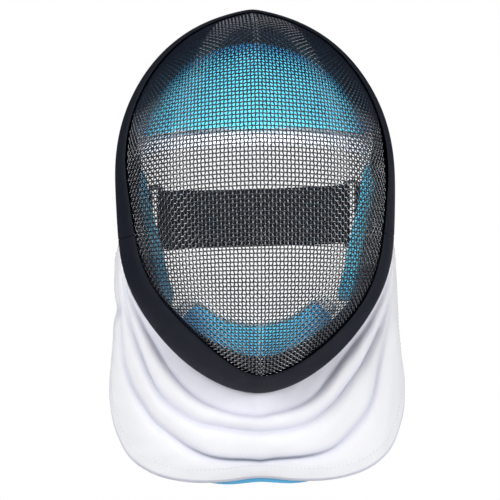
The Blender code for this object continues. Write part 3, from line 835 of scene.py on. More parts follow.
def trim(name, node, table, joint, centre):
    """The strip from the left joint to the right one, past the middle between them."""
    left, right, bulk = curves(table)
    away = END_STEP if centre > joint else -END_STEP
    start = joint + 8 * away
    half = [joint, joint + away, *np.linspace(start, centre, round(abs(centre - start) / STATION_STEP) + 1)]
    loops, edge_sheens = [], []
    for angle, side in both_sides(half[::-1]):
        section = trim_section(float((left if side < 0 else right)(angle)), float(bulk(angle)))
        loops.append([beside_rim(angle, inside, proud, side) for inside, proud, _ in section])
        edge_sheens += [sheen_share for _, _, sheen_share in section]
    # each point stores its share of the painted highlight along the fold
    made = mark(tube(name, loops, vinyl), "edge_sheen", edge_sheens)
    dress(flattened(subdivided(made)), "rim_trim", node)


trim("crown_trim_vinyl", "upper_trim", UPPER_TRIM, TRIM_JOINT + JOINT_GAP, 90.0)
trim("chin_trim_vinyl", "chin_trim", CHIN_TRIM, TRIM_JOINT - JOINT_GAP, -90.0)

# %% [markdown]
# ## The bib
# The bib is two layers of white cotton quilted over a tough core. It is sewn on behind the chin trim and hangs
# in front of the throat. Its base is straight from the rim to the hem, whose course is noted in a table, and
# swells a little half way down.

# %% The bib without folds
CHIN_SEAT, SIDE_SEAT, SEAT_TURNS = 0.0076, 0.0060, (-84.0, -50.0)  # how far outside the rim its edge is sewn
SIDE_PROUD = 0.001
BIB_END = -17.0
BIB_WALL = 0.0040
BIB_SWELL, SWELL_CALMS = 0.005, (-22.0, -65.0)
NECK = (0.0, 0.155, -0.060)
HEM = notes(4, """
    -90  0.0000  0.089  -0.1757
    -87  0.0108  0.089  -0.1763
    -84  0.0217  0.090  -0.1777
    -78  0.0455  0.093  -0.1789
    -70  0.0771  0.100  -0.1745
    -63  0.0994  0.108  -0.1621
    -57  0.1095  0.115  -0.1463
    -50  0.1158  0.122  -0.1246
    -43  0.1164  0.127  -0.1018
    -34  0.1134  0.130  -0.0742
    -25  0.1118  0.130  -0.0396
    -17  0.1103  0.128  -0.0059
""")  # angle, then side, depth and height as the caliper reads them
hem_side, hem_depth, hem_height = curves(HEM)


def ramp(value, zero, one):
    """0 on one side of zero, 1 beyond one, and straight between them."""
    return np.clip((value - zero) / (one - zero), 0, 1)


def near(distance, width):
    """1 at a seam or a valley, and less with distance from it."""
    return np.exp(-((distance / width) ** 2))


def bib_base(angle, downs, drop=0.0):
    """The bib without its folds, from the rim (down 0) to the hem (down 1)."""
    aside = ramp(angle, *SEAT_TURNS)
    top = beside_rim(angle, -(CHIN_SEAT + (SIDE_SEAT - CHIN_SEAT) * aside), SIDE_PROUD * aside)
    downs = np.atleast_1d(downs)[:, None]
    hem = place(hem_side(angle), hem_depth(angle), hem_height(angle) - np.broadcast_to(drop, downs.shape[:1]))
    return top + (hem - top) * downs


def bib_length(angle):
    return float(np.linalg.norm(np.diff(bib_base(angle, [0, 1]), axis=0)))


@cache
def bib_normal(angle):
    """The way the bib faces half way down, which all its folds follow."""
    step = 0.5 if angle < BIB_END - 0.6 else -0.5
    along = (bib_base(angle + step, 0.5) - bib_base(angle, 0.5))[0] / step
    down = (bib_base(angle, 1.0) - bib_base(angle, 0.0))[0]
    normal = unit(np.cross(down, along))
    return normal if np.dot(normal, bib_base(angle, 0.5)[0] - place(*NECK)) > 0 else -normal


def bib_points(angle, side, downs, relief, drop=0.0):
    """Points down the bib on its left or right half, so far out from its swell."""
    proud = BIB_SWELL * ramp(angle, *SWELL_CALMS) * np.sin(pi * downs) + relief
    points = bib_base(angle, downs, drop) + bib_normal(angle) * proud[:, None]
    points[:, 0] = 0.0 if angle == -90 else points[:, 0] * side
    return points


print("the bib is", round(bib_length(-90), 3), "m long at the middle")

# %% [markdown]
# ### Its folds
# Because the bib is stiff, it doesn't drape but rolls: a few long folds run round the chin, each with a sharp
# valley below and a full, round back above it. A cloth simulation would make small random folds in their place,
# so they are modelled: the valleys' courses are noted for each side, as shares of the way from the trim to the
# hem. The lowest is the seam over the hem. Beside one ear the edge also turns over in a short crease.

# %% Its folds
LEFT_VALLEYS = notes(4, """
    -90  0.300  0.490  0.825
    -85  0.295  0.475  0.800
    -80  0.275  0.455  0.770
    -75  0.250  0.450  0.710
    -70  0.215  0.415  0.640
    -65  0.175  0.385  0.600
    -60  0.140  0.345  0.560
    -55  0.105  0.300  0.550
    -50  0.080  0.255  0.535
    -45  0.065  0.230  0.515
    -39  0.055  0.205  0.475
    -17  0.050  0.180  0.420
""")  # angle, then under the collar, under the upper roll, and at the hem's seam
RIGHT_VALLEYS = notes(4, """
    -90  0.300  0.490  0.825
    -84  0.275  0.480  0.790
    -78  0.250  0.440  0.765
    -73  0.200  0.380  0.720
    -69  0.150  0.330  0.650
    -63  0.090  0.265  0.575
    -58  0.070  0.245  0.500
    -52  0.060  0.215  0.390
    -44  0.050  0.205  0.320
    -17  0.050  0.180  0.300
""")
BIB_ROWS = 110
VALLEY_ROWS = (0, 24, 46, 84, 109)  # the row of points that follows each valley, where rows follow valleys
FOLLOW_CALMS, FOLD_CALMS = (-26.0, -46.0), (-20.0, -55.0)
COLLAR_PROUD, COLLAR_CURVE = 0.0030, 1.5  # the cloth leaves the trim this far out and falls to the first valley
ROLL_HEIGHTS = (0.0050, 0.0052, 0.0030)
ROLL_LEAN, ROLL_FULLNESS = 0.62, 0.85
HEM_SEAM_DEPTH, HEM_SEAM_WIDTH, HEM_SEAM_REACH = 0.0016, 0.0011, 16.0
HEM_SHADE = 0.75
COLLAR_SHADE, COLLAR_SHADE_UP = 0.42, 0.04
VALLEY_SHADES, VALLEY_SHADE_WIDTH = (0.8, 0.6, 0.7), 0.0035
TWIST_AT, TWIST_SLANT, TWIST_WIDTH = -26.0, 14.0, 2.2  # by the ear on the picture's left only
TWIST_FALLS, TWIST_DEPTH, TWIST_NOTCH = (0.25, 0.50), 0.0020, 0.0009
SEAM_SHADE, TWIST_SHADE = 0.9, 0.6
WRINKLE, WRINKLES_DOWN, WRINKLES_ROUND = 0.00035, (23, 7), (0.31, 0.47)

courses = {-1: curves(LEFT_VALLEYS), 1: curves(RIGHT_VALLEYS)}


def cuts_at(angle, side):
    """Where the trim, the three valleys and the hem are, as shares of the way down."""
    return [0.0, *(float(course(angle)) for course in courses[side]), 1.0]


def roll(share):
    """A fold seen from its end: steep under the valley above it, then long and gentle."""
    return np.sin(pi * np.clip(share, 0, 1) ** ROLL_LEAN) ** ROLL_FULLNESS


def bib_rows(angle, side):
    """Where the rows of points cross the line at this angle: under the face a row follows every valley."""
    follow = ramp(angle, *FOLLOW_CALMS)
    sharp = np.interp(np.arange(BIB_ROWS), VALLEY_ROWS, cuts_at(angle, side))
    return (1 - follow) * np.linspace(0, 1, BIB_ROWS) + follow * sharp


def twist(angle, side, downs):
    """A short slanting crease near the left ear of the picture, where the bib's edge turns over."""
    off = angle - TWIST_AT + TWIST_SLANT * (1 - downs)
    return (side < 0) * near(off, TWIST_WIDTH) * ramp(downs, *TWIST_FALLS)


def bib_line(angle, side, downs, inset=0.0, share=1.0):
    """Points from trim to hem, with a share of the folds' relief, the painted shade of the folds at each, and the
    shaded seam.
    """
    length, cuts = bib_length(angle), cuts_at(angle, side)
    relief = np.where(downs < cuts[1], COLLAR_PROUD * np.clip(1 - downs / cuts[1], 0, 1) ** COLLAR_CURVE, 0.0)
    for top, low, height in zip(cuts[1:], cuts[2:], ROLL_HEIGHTS):
        band = (downs >= top) & (downs <= low)
        relief = np.where(band, height * roll((downs - top) / (low - top)), relief)
    # painted shade: in the collar under the trim, and in each valley
    painted_fold_shade = COLLAR_SHADE * ramp(downs, cuts[1], cuts[1] - COLLAR_SHADE_UP)
    for cut, weight in zip(cuts[1:4], VALLEY_SHADES):
        painted_fold_shade = np.maximum(painted_fold_shade, weight * near((downs - cut) * length, VALLEY_SHADE_WIDTH))
    # the seam over the hem: a groove, with a painted shadow along it
    seam = near((downs - cuts[3]) * length, HEM_SEAM_WIDTH) * exp(-(((angle + 90) / HEM_SEAM_REACH) ** 4))
    wrinkles = WRINKLE
    for down, around in zip(WRINKLES_DOWN, WRINKLES_ROUND):
        wrinkles = wrinkles * np.sin(downs * down + angle * side * around)
    left, turn = ramp(angle, *FOLD_CALMS), twist(angle, side, downs)
    relief = left * (relief + wrinkles) - HEM_SEAM_DEPTH * seam - TWIST_DEPTH * turn
    points = bib_points(angle, side, downs, relief * share - inset)
    points[:, 0] -= side * TWIST_NOTCH * turn
    return points, np.maximum(left * np.maximum(painted_fold_shade, SEAM_SHADE * seam), TWIST_SHADE * turn), seam


print("valleys at the middle, as shares of the way down:", cuts_at(-90, 1)[1:4])

# %% [markdown]
# ### The quilted cloth
# The folds are sharp, and Solidify would tangle in them. So the bib is built with both its faces: one loop of
# points runs down the outside, round the hem and up the inside, where the quilting lies calmer. Each point also
# keeps its place on the cut cloth, in metres, which the weave follows.

# %% The bib
BIB_COLUMN_STEP = 1.0
INSIDE_CALM = 0.45
HEM_ROUND = ((0.14, 0.7), (0.50, 1.0), (0.52, 1.0), (0.86, 0.7))  # from outside to inside, and how far down


def cloth_places(rows):
    """The place of each point of a grid on the cut cloth, from the lengths between its points."""
    along = np.cumsum(np.linalg.norm(np.diff(rows, axis=1), axis=2), axis=1)
    down = np.cumsum(np.linalg.norm(np.diff(rows, axis=0), axis=2), axis=0)
    along, down = np.pad(along, ((0, 0), (1, 0))), np.pad(down, ((1, 0), (0, 0)))
    return np.stack([along, down, np.zeros_like(down)], -1).reshape(-1, 3)


def area(rows):
    """The area of a grid of points, in square metres."""
    rows = np.asarray(rows)
    first, second = rows[1:, 1:] - rows[:-1, :-1], rows[1:, :-1] - rows[:-1, 1:]
    return round(float(np.linalg.norm(np.cross(first, second), axis=2).sum() / 2), 4)


bib_stations = both_sides(np.arange(-90, BIB_END + 0.01, BIB_COLUMN_STEP))
loops, fold_shades, hem_seam_shades = [], [], []
for angle, side in bib_stations:
    downs = bib_rows(angle, side)
    outside, painted_fold_shade, seam = bib_line(angle, side, downs, -BIB_WALL / 2)
    inside, _, _ = bib_line(angle, side, downs, BIB_WALL / 2, INSIDE_CALM)
    fall = unit(outside[-1] - outside[-2]) * BIB_WALL / 2
    hem = [outside[-1] * (1 - t) + inside[-1] * t + fall * lift for t, lift in HEM_ROUND]
    loops.append([*outside, *hem, *inside[::-1]])
    # painted shade: the folds' shade outside, a grey line round the hem's edge, and calmer shade inside
    fold_shades += [*painted_fold_shade[:-1], *[HEM_SHADE] * (len(hem) + 2), *painted_fold_shade[-2::-1] * INSIDE_CALM]
    # painted shadow of the hem's seam, on the outside only
    hem_seam_shades += [*seam, *[0.0] * (len(hem) + BIB_ROWS)]
bib = tube("bib_cloth", loops, bib_cotton, zipped=True)
mark(mark(mark(bib, "fold_shade", fold_shades), "hem_seam_shade", hem_seam_shades), CLOTH, cloth_places(loops))
dress(bib, "bib_cloth", "bib")
print("bib_cloth is", area(np.array(loops)[:, :BIB_ROWS]), "m2")

# %% [markdown]
# ### The hem's stitches
# A row of lockstitches holds the hem. Each stitch is a small thread with round ends that lies along the row.
# Geometry Nodes can set them: the row is resampled at the stitch's pitch, and a stretched ball is put on each
# point, turned to follow the row.

# %% Stitches along a line
HEM_STITCH_UP = 0.0085  # the row's height over the hem
STITCH_PITCH, STITCH_LENGTH, THREAD_RADIUS = 0.0034, 0.0027, 0.00032
graph, given, close = new_tree(
    "stitches", Pitch="Float", Stitch_length="Float", Thread_radius="Float", Material="Material"
)
row = graph.node("GeometryNodeMeshToCurve", Mesh=given["Geometry"])
spots = graph.node("GeometryNodeResampleCurve", {"mode": "LENGTH"}, Curve=row, Length=given["Pitch"])
tangent = graph.node("GeometryNodeInputTangent")
turned = graph.node("FunctionNodeAlignRotationToVector", {"axis": "X"}, Vector=tangent)
ball = graph.node("GeometryNodeMeshUVSphere", Segments=8, Rings=5, Radius=1.0)
thin = given["Thread_radius"]
size = graph.node("ShaderNodeCombineXYZ", X=given["Stitch_length"] * 0.5, Y=thin, Z=thin)
stitching = close(
    graph.node("GeometryNodeInstanceOnPoints", Points=spots, Instance=ball, Rotation=turned, Scale=size)
)


def line_mesh(points, closed=False):
    edges = [(n, n + 1) for n in range(len(points) - 1)]
    return plain_mesh("line", points, edges + [(len(points) - 1, 0)] * closed)


def stitched(name, points, slot):
    made = grown(name, stitching, line_mesh(points), Pitch=STITCH_PITCH, Stitch_length=STITCH_LENGTH,
                 Thread_radius=THREAD_RADIUS, Material=thread.material)
    dress(made, slot)


hem_row = []
for angle, side in bib_stations:
    down = np.array([1 - HEM_STITCH_UP / bib_length(angle)])
    hem_row += [*bib_line(angle, side, down, -BIB_WALL / 2)[0]]
stitched("bib_hem_stitches", hem_row, "bib_cloth")

# %% [markdown]
# ### The bib's lining
# A thin blue lining backs the bib and peeps out under its hem at the middle. It is a grid of points that
# Subdivision smooths and Solidify gives a wall, as all the plain cloths here are.

# %% The lining
LINING_WALL, LINING_INSET = 0.0014, 0.0044
LINING_DROP, LINING_REACH, LINING_TUCK = 0.0042, 0.045, 0.002
BEVEL = 0.0005


def walled(obj, wall):
    return modified(obj, "SOLIDIFY", thickness=wall, offset=0.0, use_even_offset=True)


def grid(name, rows, finish):
    return new_mesh(name, np.reshape(rows, (-1, 3)), grid_faces(*np.shape(rows)[:2]), finish)


def cloth(name, rows, finish, wall, slot, *nodes, levels=1):
    """A cloth from rows of points, which know their place on the cut cloth. With no levels it is bevelled."""
    made = mark(grid(name, rows, finish), CLOTH, cloth_places(rows))
    if levels:
        subdivided(made, levels)
    walled(made, wall)
    if not levels:
        modified(made, "BEVEL", width=BEVEL, segments=2, limit_method="ANGLE", angle_limit=radians(60))
    dress(flattened(made), slot, *nodes)
    print(name, "is", area(rows), "m2")
    return made


lining_downs = np.linspace(0.06, 1, 15)
lining_lines = []
for angle, side in bib_stations[3:-3:2]:
    shown = exp(-((float(hem_side(angle)) / LINING_REACH) ** 4))
    drop = (LINING_DROP * shown - LINING_TUCK * (1 - shown)) * lining_downs**4
    lining_lines.append(bib_points(angle, side, lining_downs, -LINING_INSET, drop))
lining_rows = np.stack(lining_lines, axis=1)
lining = cloth("bib_lining_cloth", lining_rows, lining_cotton, LINING_WALL, "blue_lining", "bib_lining")

# %% [markdown]
# ## The padding inside
# The crown, the temples and the jaw rest on pads: foam faced with blue knit. Their shape comes from air
# pressure in a closed cloth, which is what Blender's Cloth can do: the pad is walled a little thin, remeshed
# evenly, and blown up for twenty frames with gravity off. How far a point may move is capped, so the pad stays
# clear of the wire. Its painted shade, at the seams and where it turns up to the rim, is marked afterwards,
# because the remesh would lose it: each point takes the shade of the nearest place on the grid that the pad was
# made from.

# %% Pads that swell
PAD_START_WALL, PAD_VOXEL = 0.0044, 0.0028
PAD_PRESSURE, PAD_FRAMES, PAD_CAP = 4.0, 20, 0.0012
SEAM_DETAIL = 8  # places on the finer grid for each row of a pad's coarse one


def positions(obj):
    flat = np.empty(len(obj.data.vertices) * 3, np.float32)
    obj.data.vertices.foreach_get("co", flat)
    return flat.reshape(-1, 3)


def swollen(obj):
    """Blows a closed mesh up with Cloth and caps how far its points may go."""
    start = positions(obj)
    cloth = obj.modifiers.new("Cloth", "CLOTH")
    cloth.settings.use_pressure = True
    cloth.settings.uniform_pressure_force = PAD_PRESSURE
    cloth.settings.effector_weights.gravity = 0.0
    cloth.settings.quality = 5
    cloth.point_cache.frame_start, cloth.point_cache.frame_end = 1, PAD_FRAMES
    for frame_number in range(1, PAD_FRAMES + 1):
        bpy.context.scene.frame_set(frame_number)
    flattened(obj)
    bpy.context.scene.frame_set(1)
    moved = positions(obj) - start
    far = np.linalg.norm(moved, axis=1, keepdims=True)
    obj.data.vertices.foreach_set("co", (start + moved * np.minimum(1, PAD_CAP / np.maximum(far, 1e-9))).ravel())
    obj.data.update()


def finer(count):
    """A row of places along a count of points: each one's place, its point, and how far it is past that."""
    line = np.linspace(0, count - 1, SEAM_DETAIL * count)
    first = np.minimum(line.astype(int), count - 2)
    return line, first, line - first


def cushion(name, rows, node, seam, turned=lambda u, v: 0 * v):
    """A pad from a coarse grid of points. seam and turned give its painted shade from the place (u, v) on the grid.
    """
    rows = np.asarray(rows)
    made = flattened(walled(subdivided(grid(name, rows, pad_knit), 2), PAD_START_WALL))
    flattened(modified(made, "REMESH", mode="VOXEL", voxel_size=PAD_VOXEL))
    swollen(made)
    flattened(subdivided(made))
    (down, low, t), (along, left, s) = (finer(count) for count in rows.shape[:2])
    t, s = t[:, None, None], s[None, :, None]
    upper, lower = (rows[n][:, left] * (1 - s) + rows[n][:, left + 1] * s for n in (low, low + 1))
    tree = KDTree(len(down) * len(along))
    for n, spot in enumerate((upper * (1 - t) + lower * t).reshape(-1, 3)):
        tree.insert(spot, n)
    tree.balance()
    nearest = np.array([tree.find(point)[1] for point in positions(made)])
    v, u = down[nearest // len(along)] / down[-1], along[nearest % len(along)] / along[-1] * 2 - 1
    mark(mark(made, "seam", np.clip(seam(u, v), 0, 1)), "turned", np.clip(turned(u, v), 0, 1))
    made.data.materials.clear()
    made.data.materials.append(pad_knit.material)
    made.data.shade_smooth()
    dress(made, "blue_lining", node)


print("pads start", PAD_START_WALL, "m thick")

# %% [markdown]
# ### The crown's lining
# A padded panel hangs behind the crown of the wire, from the rim to a level lower edge. Its cover is a second
# sheet that comes over the outside of the rim, where it shows as a thin pale arc, and hugs the panel behind.

# %% The crown panel
CROWN_HALF_WIDTH, CROWN_LOW = 0.089, 0.0890
CROWN_HEIGHT, CROWN_EDGE_RISE = 0.0751, 0.0099  # how far the top seam and the lower edge arch up to the middle
CROWN_DEPTH, CROWN_LEAN, CROWN_HOLLOW, CROWN_EDGE_SET, CROWN_SWELL = 0.135, 0.018, 0.026, 0.002, 0.008
CROWN_END, CROWN_LAST_ANGLE = 0.94, 26.0
CROWN_REACH = 0.012
PAD_WALL, COVER_WALL, GAP = 0.006, 0.0014, 0.0005
COVER_EDGES = ((0.0050, 0.0, 0.0025), (0.0140, 0.0014, 0.0080))  # outside the rim, proud of it, tucked at the ends
COVER_ROWS = ((0.02, 0.024), (0.22, 0.017), (0.45, 0.009), (0.72, 0.004), (1.0, 0.0))  # down, and off the panel
ROOF, ROOF_SOFT, SEAM_SOFT, END_SOFT = 0.24, 0.03, 0.10, 0.15  # the share of the pad that turns up to the rim


def crown_panel(across, down):
    """The panel's middle surface: across -1 to 1, down 0 (top seam) to 1 (lower edge)."""
    turn = across * pi / 2
    side, level = CROWN_HALF_WIDTH * sin(turn), cos(turn)
    top = np.array([side, CROWN_DEPTH + CROWN_LEAN * level, CROWN_LOW + CROWN_HEIGHT * level])
    low = np.array([side, CROWN_DEPTH - CROWN_EDGE_SET + CROWN_HOLLOW * level, CROWN_LOW + CROWN_EDGE_RISE * level])
    middle = top + (low - top) * down
    middle[1] += CROWN_SWELL * level * sin(pi * down)
    return place(*middle)


def crown_normal(across, down, step=0.02):
    """Away from the head."""
    along = crown_panel(across + step, down) - crown_panel(across - step, down)
    normal = unit(np.cross(along, crown_panel(across, down + step) - crown_panel(across, down - step)))
    return normal if normal[1] > 0 else -normal


def crown_rim(across, inside, proud):
    """A point beside the rim, above the panel's station."""
    angle = 90.0 + (CROWN_LAST_ANGLE - 90.0) * abs(across) / CROWN_END
    return beside_rim(angle, inside, proud) * (np.sign(across), 1, 1)


crown_stations = np.linspace(-CROWN_END, CROWN_END, 21)
under_trim = MESH_WALL / 2 + TRIM_CLEAR + TRIM_WALL
pad_rows = [[crown_rim(a, CROWN_REACH, -(under_trim + GAP + PAD_WALL / 2)) for a in crown_stations]]
pad_rows.append([(first + crown_panel(a, 0)) / 2 for first, a in zip(pad_rows[0], crown_stations)])
pad_rows += [[crown_panel(a, down) for a in crown_stations] for down in (0, 0.25, 0.5, 0.75, 1)]
# painted shade: deeper blue below the roof and at the ends, and the roof that turns up to the rim nearly black
cushion(
    "crown_pad_foam", pad_rows, "crown_pad",
    seam=lambda u, v: 0.9 * near(np.maximum(v - ROOF, 0), SEAM_SOFT) + 0.8 * near(1 - abs(u), END_SOFT),
    turned=lambda u, v: ramp(v, ROOF, ROOF - ROOF_SOFT) * (1 - 0.8 * near(1 - abs(u), END_SOFT)),
)

cover_rows = [
    [crown_rim(a, -outside, proud - tuck * a**2) for a in crown_stations] for outside, proud, tuck in COVER_EDGES
]
clear = PAD_WALL / 2 + GAP + COVER_WALL / 2
for down, off in COVER_ROWS:
    cover_rows.append([
        crown_panel(a, down) + crown_normal(a, down) * (clear + off * cos(a * pi / 2)) for a in crown_stations
    ])
crown_cover = cloth(
    "crown_cover_cloth", cover_rows, cover_twill, COVER_WALL, "cover_cloth", "crown_cover", levels=2
)

# %% [markdown]
# ### Tape round the edges
# The crown panel's lower edge and the jaw pad's rear edge are bound with a folded white tape. A tape is a
# rounded section that is carried along its edge. A row of stitches holds the wide one.

# %% Bindings
BINDING_WALL, BINDING_HEIGHT, BINDING_GAIN, BINDING_CORNER = 0.0085, 0.0115, 0.004, 0.0032
BINDING_FLARE, BINDING_SET, BINDING_STITCH_UP = 0.003, 0.0012, 0.28


def rounded_section(half_wide, half_high, corner, steps=4):
    """A rectangle with round corners, as (across, up)."""
    section = []
    for quarter_turn in range(4):
        x = (half_wide - corner) * (1 if quarter_turn in (0, 3) else -1)
        y = (half_high - corner) * (1 if quarter_turn < 2 else -1)
        for step in range(steps + 1):
            turn = pi / 2 * (quarter_turn + step / steps)
            section.append((x + corner * cos(turn), y + corner * sin(turn)))
    return section


def binding(name, spots, finish, node):
    """A tape carried along spots, each of which is (point, across, up, its section)."""
    loops = [[point + across * x + up * y for x, y in section] for point, across, up, section in spots]
    dress(tube(name, loops, finish), "white_binding", node)


spots, tape_row = [], []
for across in np.linspace(-CROWN_END, CROWN_END, 61):
    height = BINDING_HEIGHT + BINDING_GAIN * across**2
    edge = crown_panel(across, 1) + np.array([0, BINDING_SET, -BINDING_SET - height / 2])
    edge[0] += BINDING_FLARE * across**3
    through = unit(np.cross(crown_panel(across + 0.01, 1) - crown_panel(across - 0.01, 1), upright))
    spots.append((edge, through, upright, rounded_section(BINDING_WALL / 2, height / 2, BINDING_CORNER)))
    front = through * (BINDING_WALL / 2 + 0.0001) * np.sign(through[1])
    tape_row.append(edge - front + upright * height * BINDING_STITCH_UP)
# the crown's tape carries its painted shade
binding("crown_binding_tape", spots, shaded_tape, "crown_binding")
stitched("crown_binding_stitches", tape_row, "white_binding")

# %% [markdown]
# ### The temples
# On each side a pad stands on edge beside the opening for the head, and a thin white flap closes the way from
# it to the rim.

# %% Side pads and flaps
OPENING = notes(2, """
    -0.0425  0.0655
    -0.0267  0.0703
     0.0     0.0763
     0.0484  0.0872
     0.0730  0.0901
""")  # height, half width
SIDE_LOW, SIDE_HIGH, SIDE_FRONT, SIDE_BACK, SIDE_SPREAD = -0.0425, 0.0680, 0.093, 0.135, 0.006
FLAP_BACK, FLAP_FOLD, FLAP_TURN, FLAP_RISE = 0.1363, 0.1370, 0.0045, 0.018
FLAP_SEWN, FLAP_OVERLAP = 0.004, 0.001
SIDE_SHADES = {-1: (0.35, 0.60), 1: (0.05, 0.0)}  # the left pad lies in the shade: its seam and its turned part
SIDES = (("left", -1), ("right", 1))
(opening_half,) = curves(OPENING)
rim_angles = np.linspace(-70, 60, 261)
rim_heights = [beside_rim(a, 0.0, 0.0)[2] for a in rim_angles]

for label, side in SIDES:
    side_rows, flap_rows = [], []
    seam_shade, turned_shade = SIDE_SHADES[side]
    for height in np.linspace(SIDE_LOW, SIDE_HIGH, 12):
        half = opening_half(height)
        side_rows.append([
            place(side * (half + SIDE_SPREAD * (1 - t)), SIDE_FRONT + (SIDE_BACK - SIDE_FRONT) * t, height)
            for t in (0, 0.5, 1)
        ])
        raised = height + FLAP_RISE * ((height - SIDE_LOW) / (SIDE_HIGH - SIDE_LOW)) ** 3
        rim_angle = np.interp(place(0, 0, raised)[2], rim_heights, rim_angles)
        edge = beside_rim(rim_angle, FLAP_SEWN, -(under_trim + 1.4 * GAP + COVER_WALL / 2), side)
        flap_rows.append([
            place(side * (half + FLAP_OVERLAP), FLAP_BACK, height),
            place(edge[0] - side * FLAP_TURN, FLAP_FOLD, raised),
            edge,
        ])
    # painted shade: the left pad darker all over, and deeper blue at each pad's top and bottom
    cushion(f"side_pad_{label}_foam", side_rows, f"side_pad_{label}",
            seam=lambda u, v: seam_shade + 0.3 * near(v, 0.2) + 0.3 * near(1 - v, 0.2),
            turned=lambda u, v: turned_shade + 0 * v)
    flap = cloth(f"side_flap_{label}_cloth", flap_rows, flap_cotton, COVER_WALL, "cover_cloth",
                 f"side_flap_{label}", levels=2)

# %% [markdown]
# ### The jaw pad
# The pad under the jaw bridges both cheeks and slopes forward under the chin. Its rear edge stands up in two
# ears, and its tape follows that edge.

# %% The jaw pad
CHIN_EDGES = ((0.0475, 0.079, 0.006), (0.0603, 0.118, -0.002))  # front and rear: half width, depth, sweep
CHIN_FRONT_HEIGHT, CHIN_FRONT_RISE, CHIN_REAR_HEIGHT, CHIN_SAG = -0.088, 0.015, -0.0613, 0.004
CHIN_BINDING, CHIN_BINDING_CORNER = 0.0036, 0.0028
ears = spline([0.0, 0.35, 0.60, 0.80, 1.0], [0.0, 0.0030, 0.0110, 0.0180, 0.0090])


def chin_pad_point(across, back):
    """The pad under the jaw: across -1 to 1, back 0 (front, low) to 1 (rear, high, with two ears)."""
    heights = CHIN_FRONT_HEIGHT + CHIN_FRONT_RISE * across**2, CHIN_REAR_HEIGHT + ears(abs(across))
    front, rear = (
        np.array([half_width * across, depth + sweep * across**2, height])
        for (half_width, depth, sweep), height in zip(CHIN_EDGES, heights)
    )
    middle = front + (rear - front) * back
    middle[2] -= CHIN_SAG * sin(pi * back)
    return place(*middle)


chin_rows = [[chin_pad_point(a, back) for a in np.linspace(-1, 1, 21)] for back in (0, 0.33, 0.67, 1)]
# painted shade: a deeper blue over the whole jaw pad, more at its two ends and its front edge
cushion("chin_pad_foam", chin_rows, "chin_pad",
        seam=lambda u, v: 0.2 + 0.8 * near(1 - abs(u), 0.35) + 0.5 * near(v, 0.4))
spots = []
for across in np.linspace(-1, 1, 45):
    rise = unit(chin_pad_point(across, 1) - chin_pad_point(across, 0.67))
    along = unit(chin_pad_point(across + 0.01, 1) - chin_pad_point(across - 0.01, 1))
    edge = chin_pad_point(across, 1) + rise * (CHIN_BINDING + 2 * GAP)
    section = rounded_section(CHIN_BINDING, CHIN_BINDING, CHIN_BINDING_CORNER)
    spots.append((edge, unit(np.cross(along, rise)), rise, section))
binding("chin_binding_tape", spots, jaw_tape, "chin_pad_binding")

# %% [markdown]
# ### The painted shade band
# A band of black cloth inside the wire is painted shade: it stands for the shade in the hollow behind the
# wires' edge. It lies just under the wires, next to the trim, and is what makes their edge look so dark. The
# table gives how far it reaches from the rim on each side.

# %% The painted shade band
SHADE_BAND_FROM, SHADE_BAND_SET, SHADE_BAND_WALL = 0.0135, 0.0030, 0.0012
SHADE_BAND_REACH = notes(3, """
    -90  0.046  0.046
    -75  0.044  0.044
    -60  0.036  0.036
    -50  0.033  0.030
    -30  0.028  0.025
    -20  0.027  0.024
    -10  0.028  0.022
      0  0.031  0.022
     10  0.040  0.041
     18  0.045  0.048
     25  0.034  0.034
     34  0.032  0.032
""")  # angle, left, right
reach_left, reach_right = curves(SHADE_BAND_REACH)
shade_band_lines = []
for angle, side in both_sides(np.arange(-90, 32.1, 4.0)):
    far = (reach_left if side < 0 else reach_right)(angle)
    shade_band_lines.append([beside_rim(angle, inside, -SHADE_BAND_SET, side) for inside in np.linspace(SHADE_BAND_FROM, far, 6)])
# painted shade: the black band round the inside of the rim
loop_tape = cloth("loop_tape", np.stack(shade_band_lines, axis=1), loop_pile, SHADE_BAND_WALL, "black_elastic")

# %% [markdown]
# ## The strap behind the head
# A wide black elastic hangs between two wire rings, a little out of level. A ring is a bar that is bent to a
# rounded rectangle, so the tree that swept the wires sweeps it too, with no crimp.

# %% Rings
RING_X, RING_DEPTH, RING_TURN = 0.0801, 0.1530, radians(25.0)
RING_HEIGHT, RING_WIDTH, RING_BAR, RING_CORNER = 0.0530, 0.0110, 0.0015, 0.003
STRAP_LEVEL, STRAP_TILT = 0.0267, 0.017


def ring_bar(side, inward):
    """The middle of a ring's inner or outer bar, seen from above, as (side, depth)."""
    reach = RING_WIDTH / 2 * (1 if inward else -1)
    return np.array([side * (RING_X - reach * cos(RING_TURN)), RING_DEPTH + reach * sin(RING_TURN)])


for label, side in SIDES:
    outer, inner = ring_bar(side, False), ring_bar(side, True)
    bend_line = []
    for across, up in rounded_section(RING_WIDTH / 2, RING_HEIGHT / 2, RING_CORNER, steps=8):
        x, y = (outer + inner) / 2 + (inner - outer) / RING_WIDTH * across
        bend_line.append(place(x, y, STRAP_LEVEL + STRAP_TILT * x + up))
    wire_ring = grown(f"ring_{label}_wire", weaving, line_mesh(bend_line, closed=True), Wire_radius=RING_BAR,
                      Crimp=0.0, Sides=16, Material=ring_paint.material)
    dress(wire_ring, "ring_metal", f"strap_ring_{label}")

# %% [markdown]
# ### The elastic
# The rings are held by tabs of the same elastic as the strap. Each end turns round its ring and comes back, so
# a strap or a tab is a path seen from above that is raised to its width.

# %% Elastic
STRAP_WALL, STRAP_WIDTH, STRAP_BOW, STRAP_SPAN = 0.0013, 0.048, 0.022, 0.86
STRAP_TAIL, TAB_TAIL, TAB_ANCHOR, TAB_LIFT, TAB_INSET = 0.022, 0.009, (0.0985, 0.1424), 0.0012, 0.002
LOOP_GAP, LOOP_TAPER, TAB_MIDDLE = 0.0003, 2.2, 0.55
radius = RING_BAR + LOOP_GAP + STRAP_WALL / 2


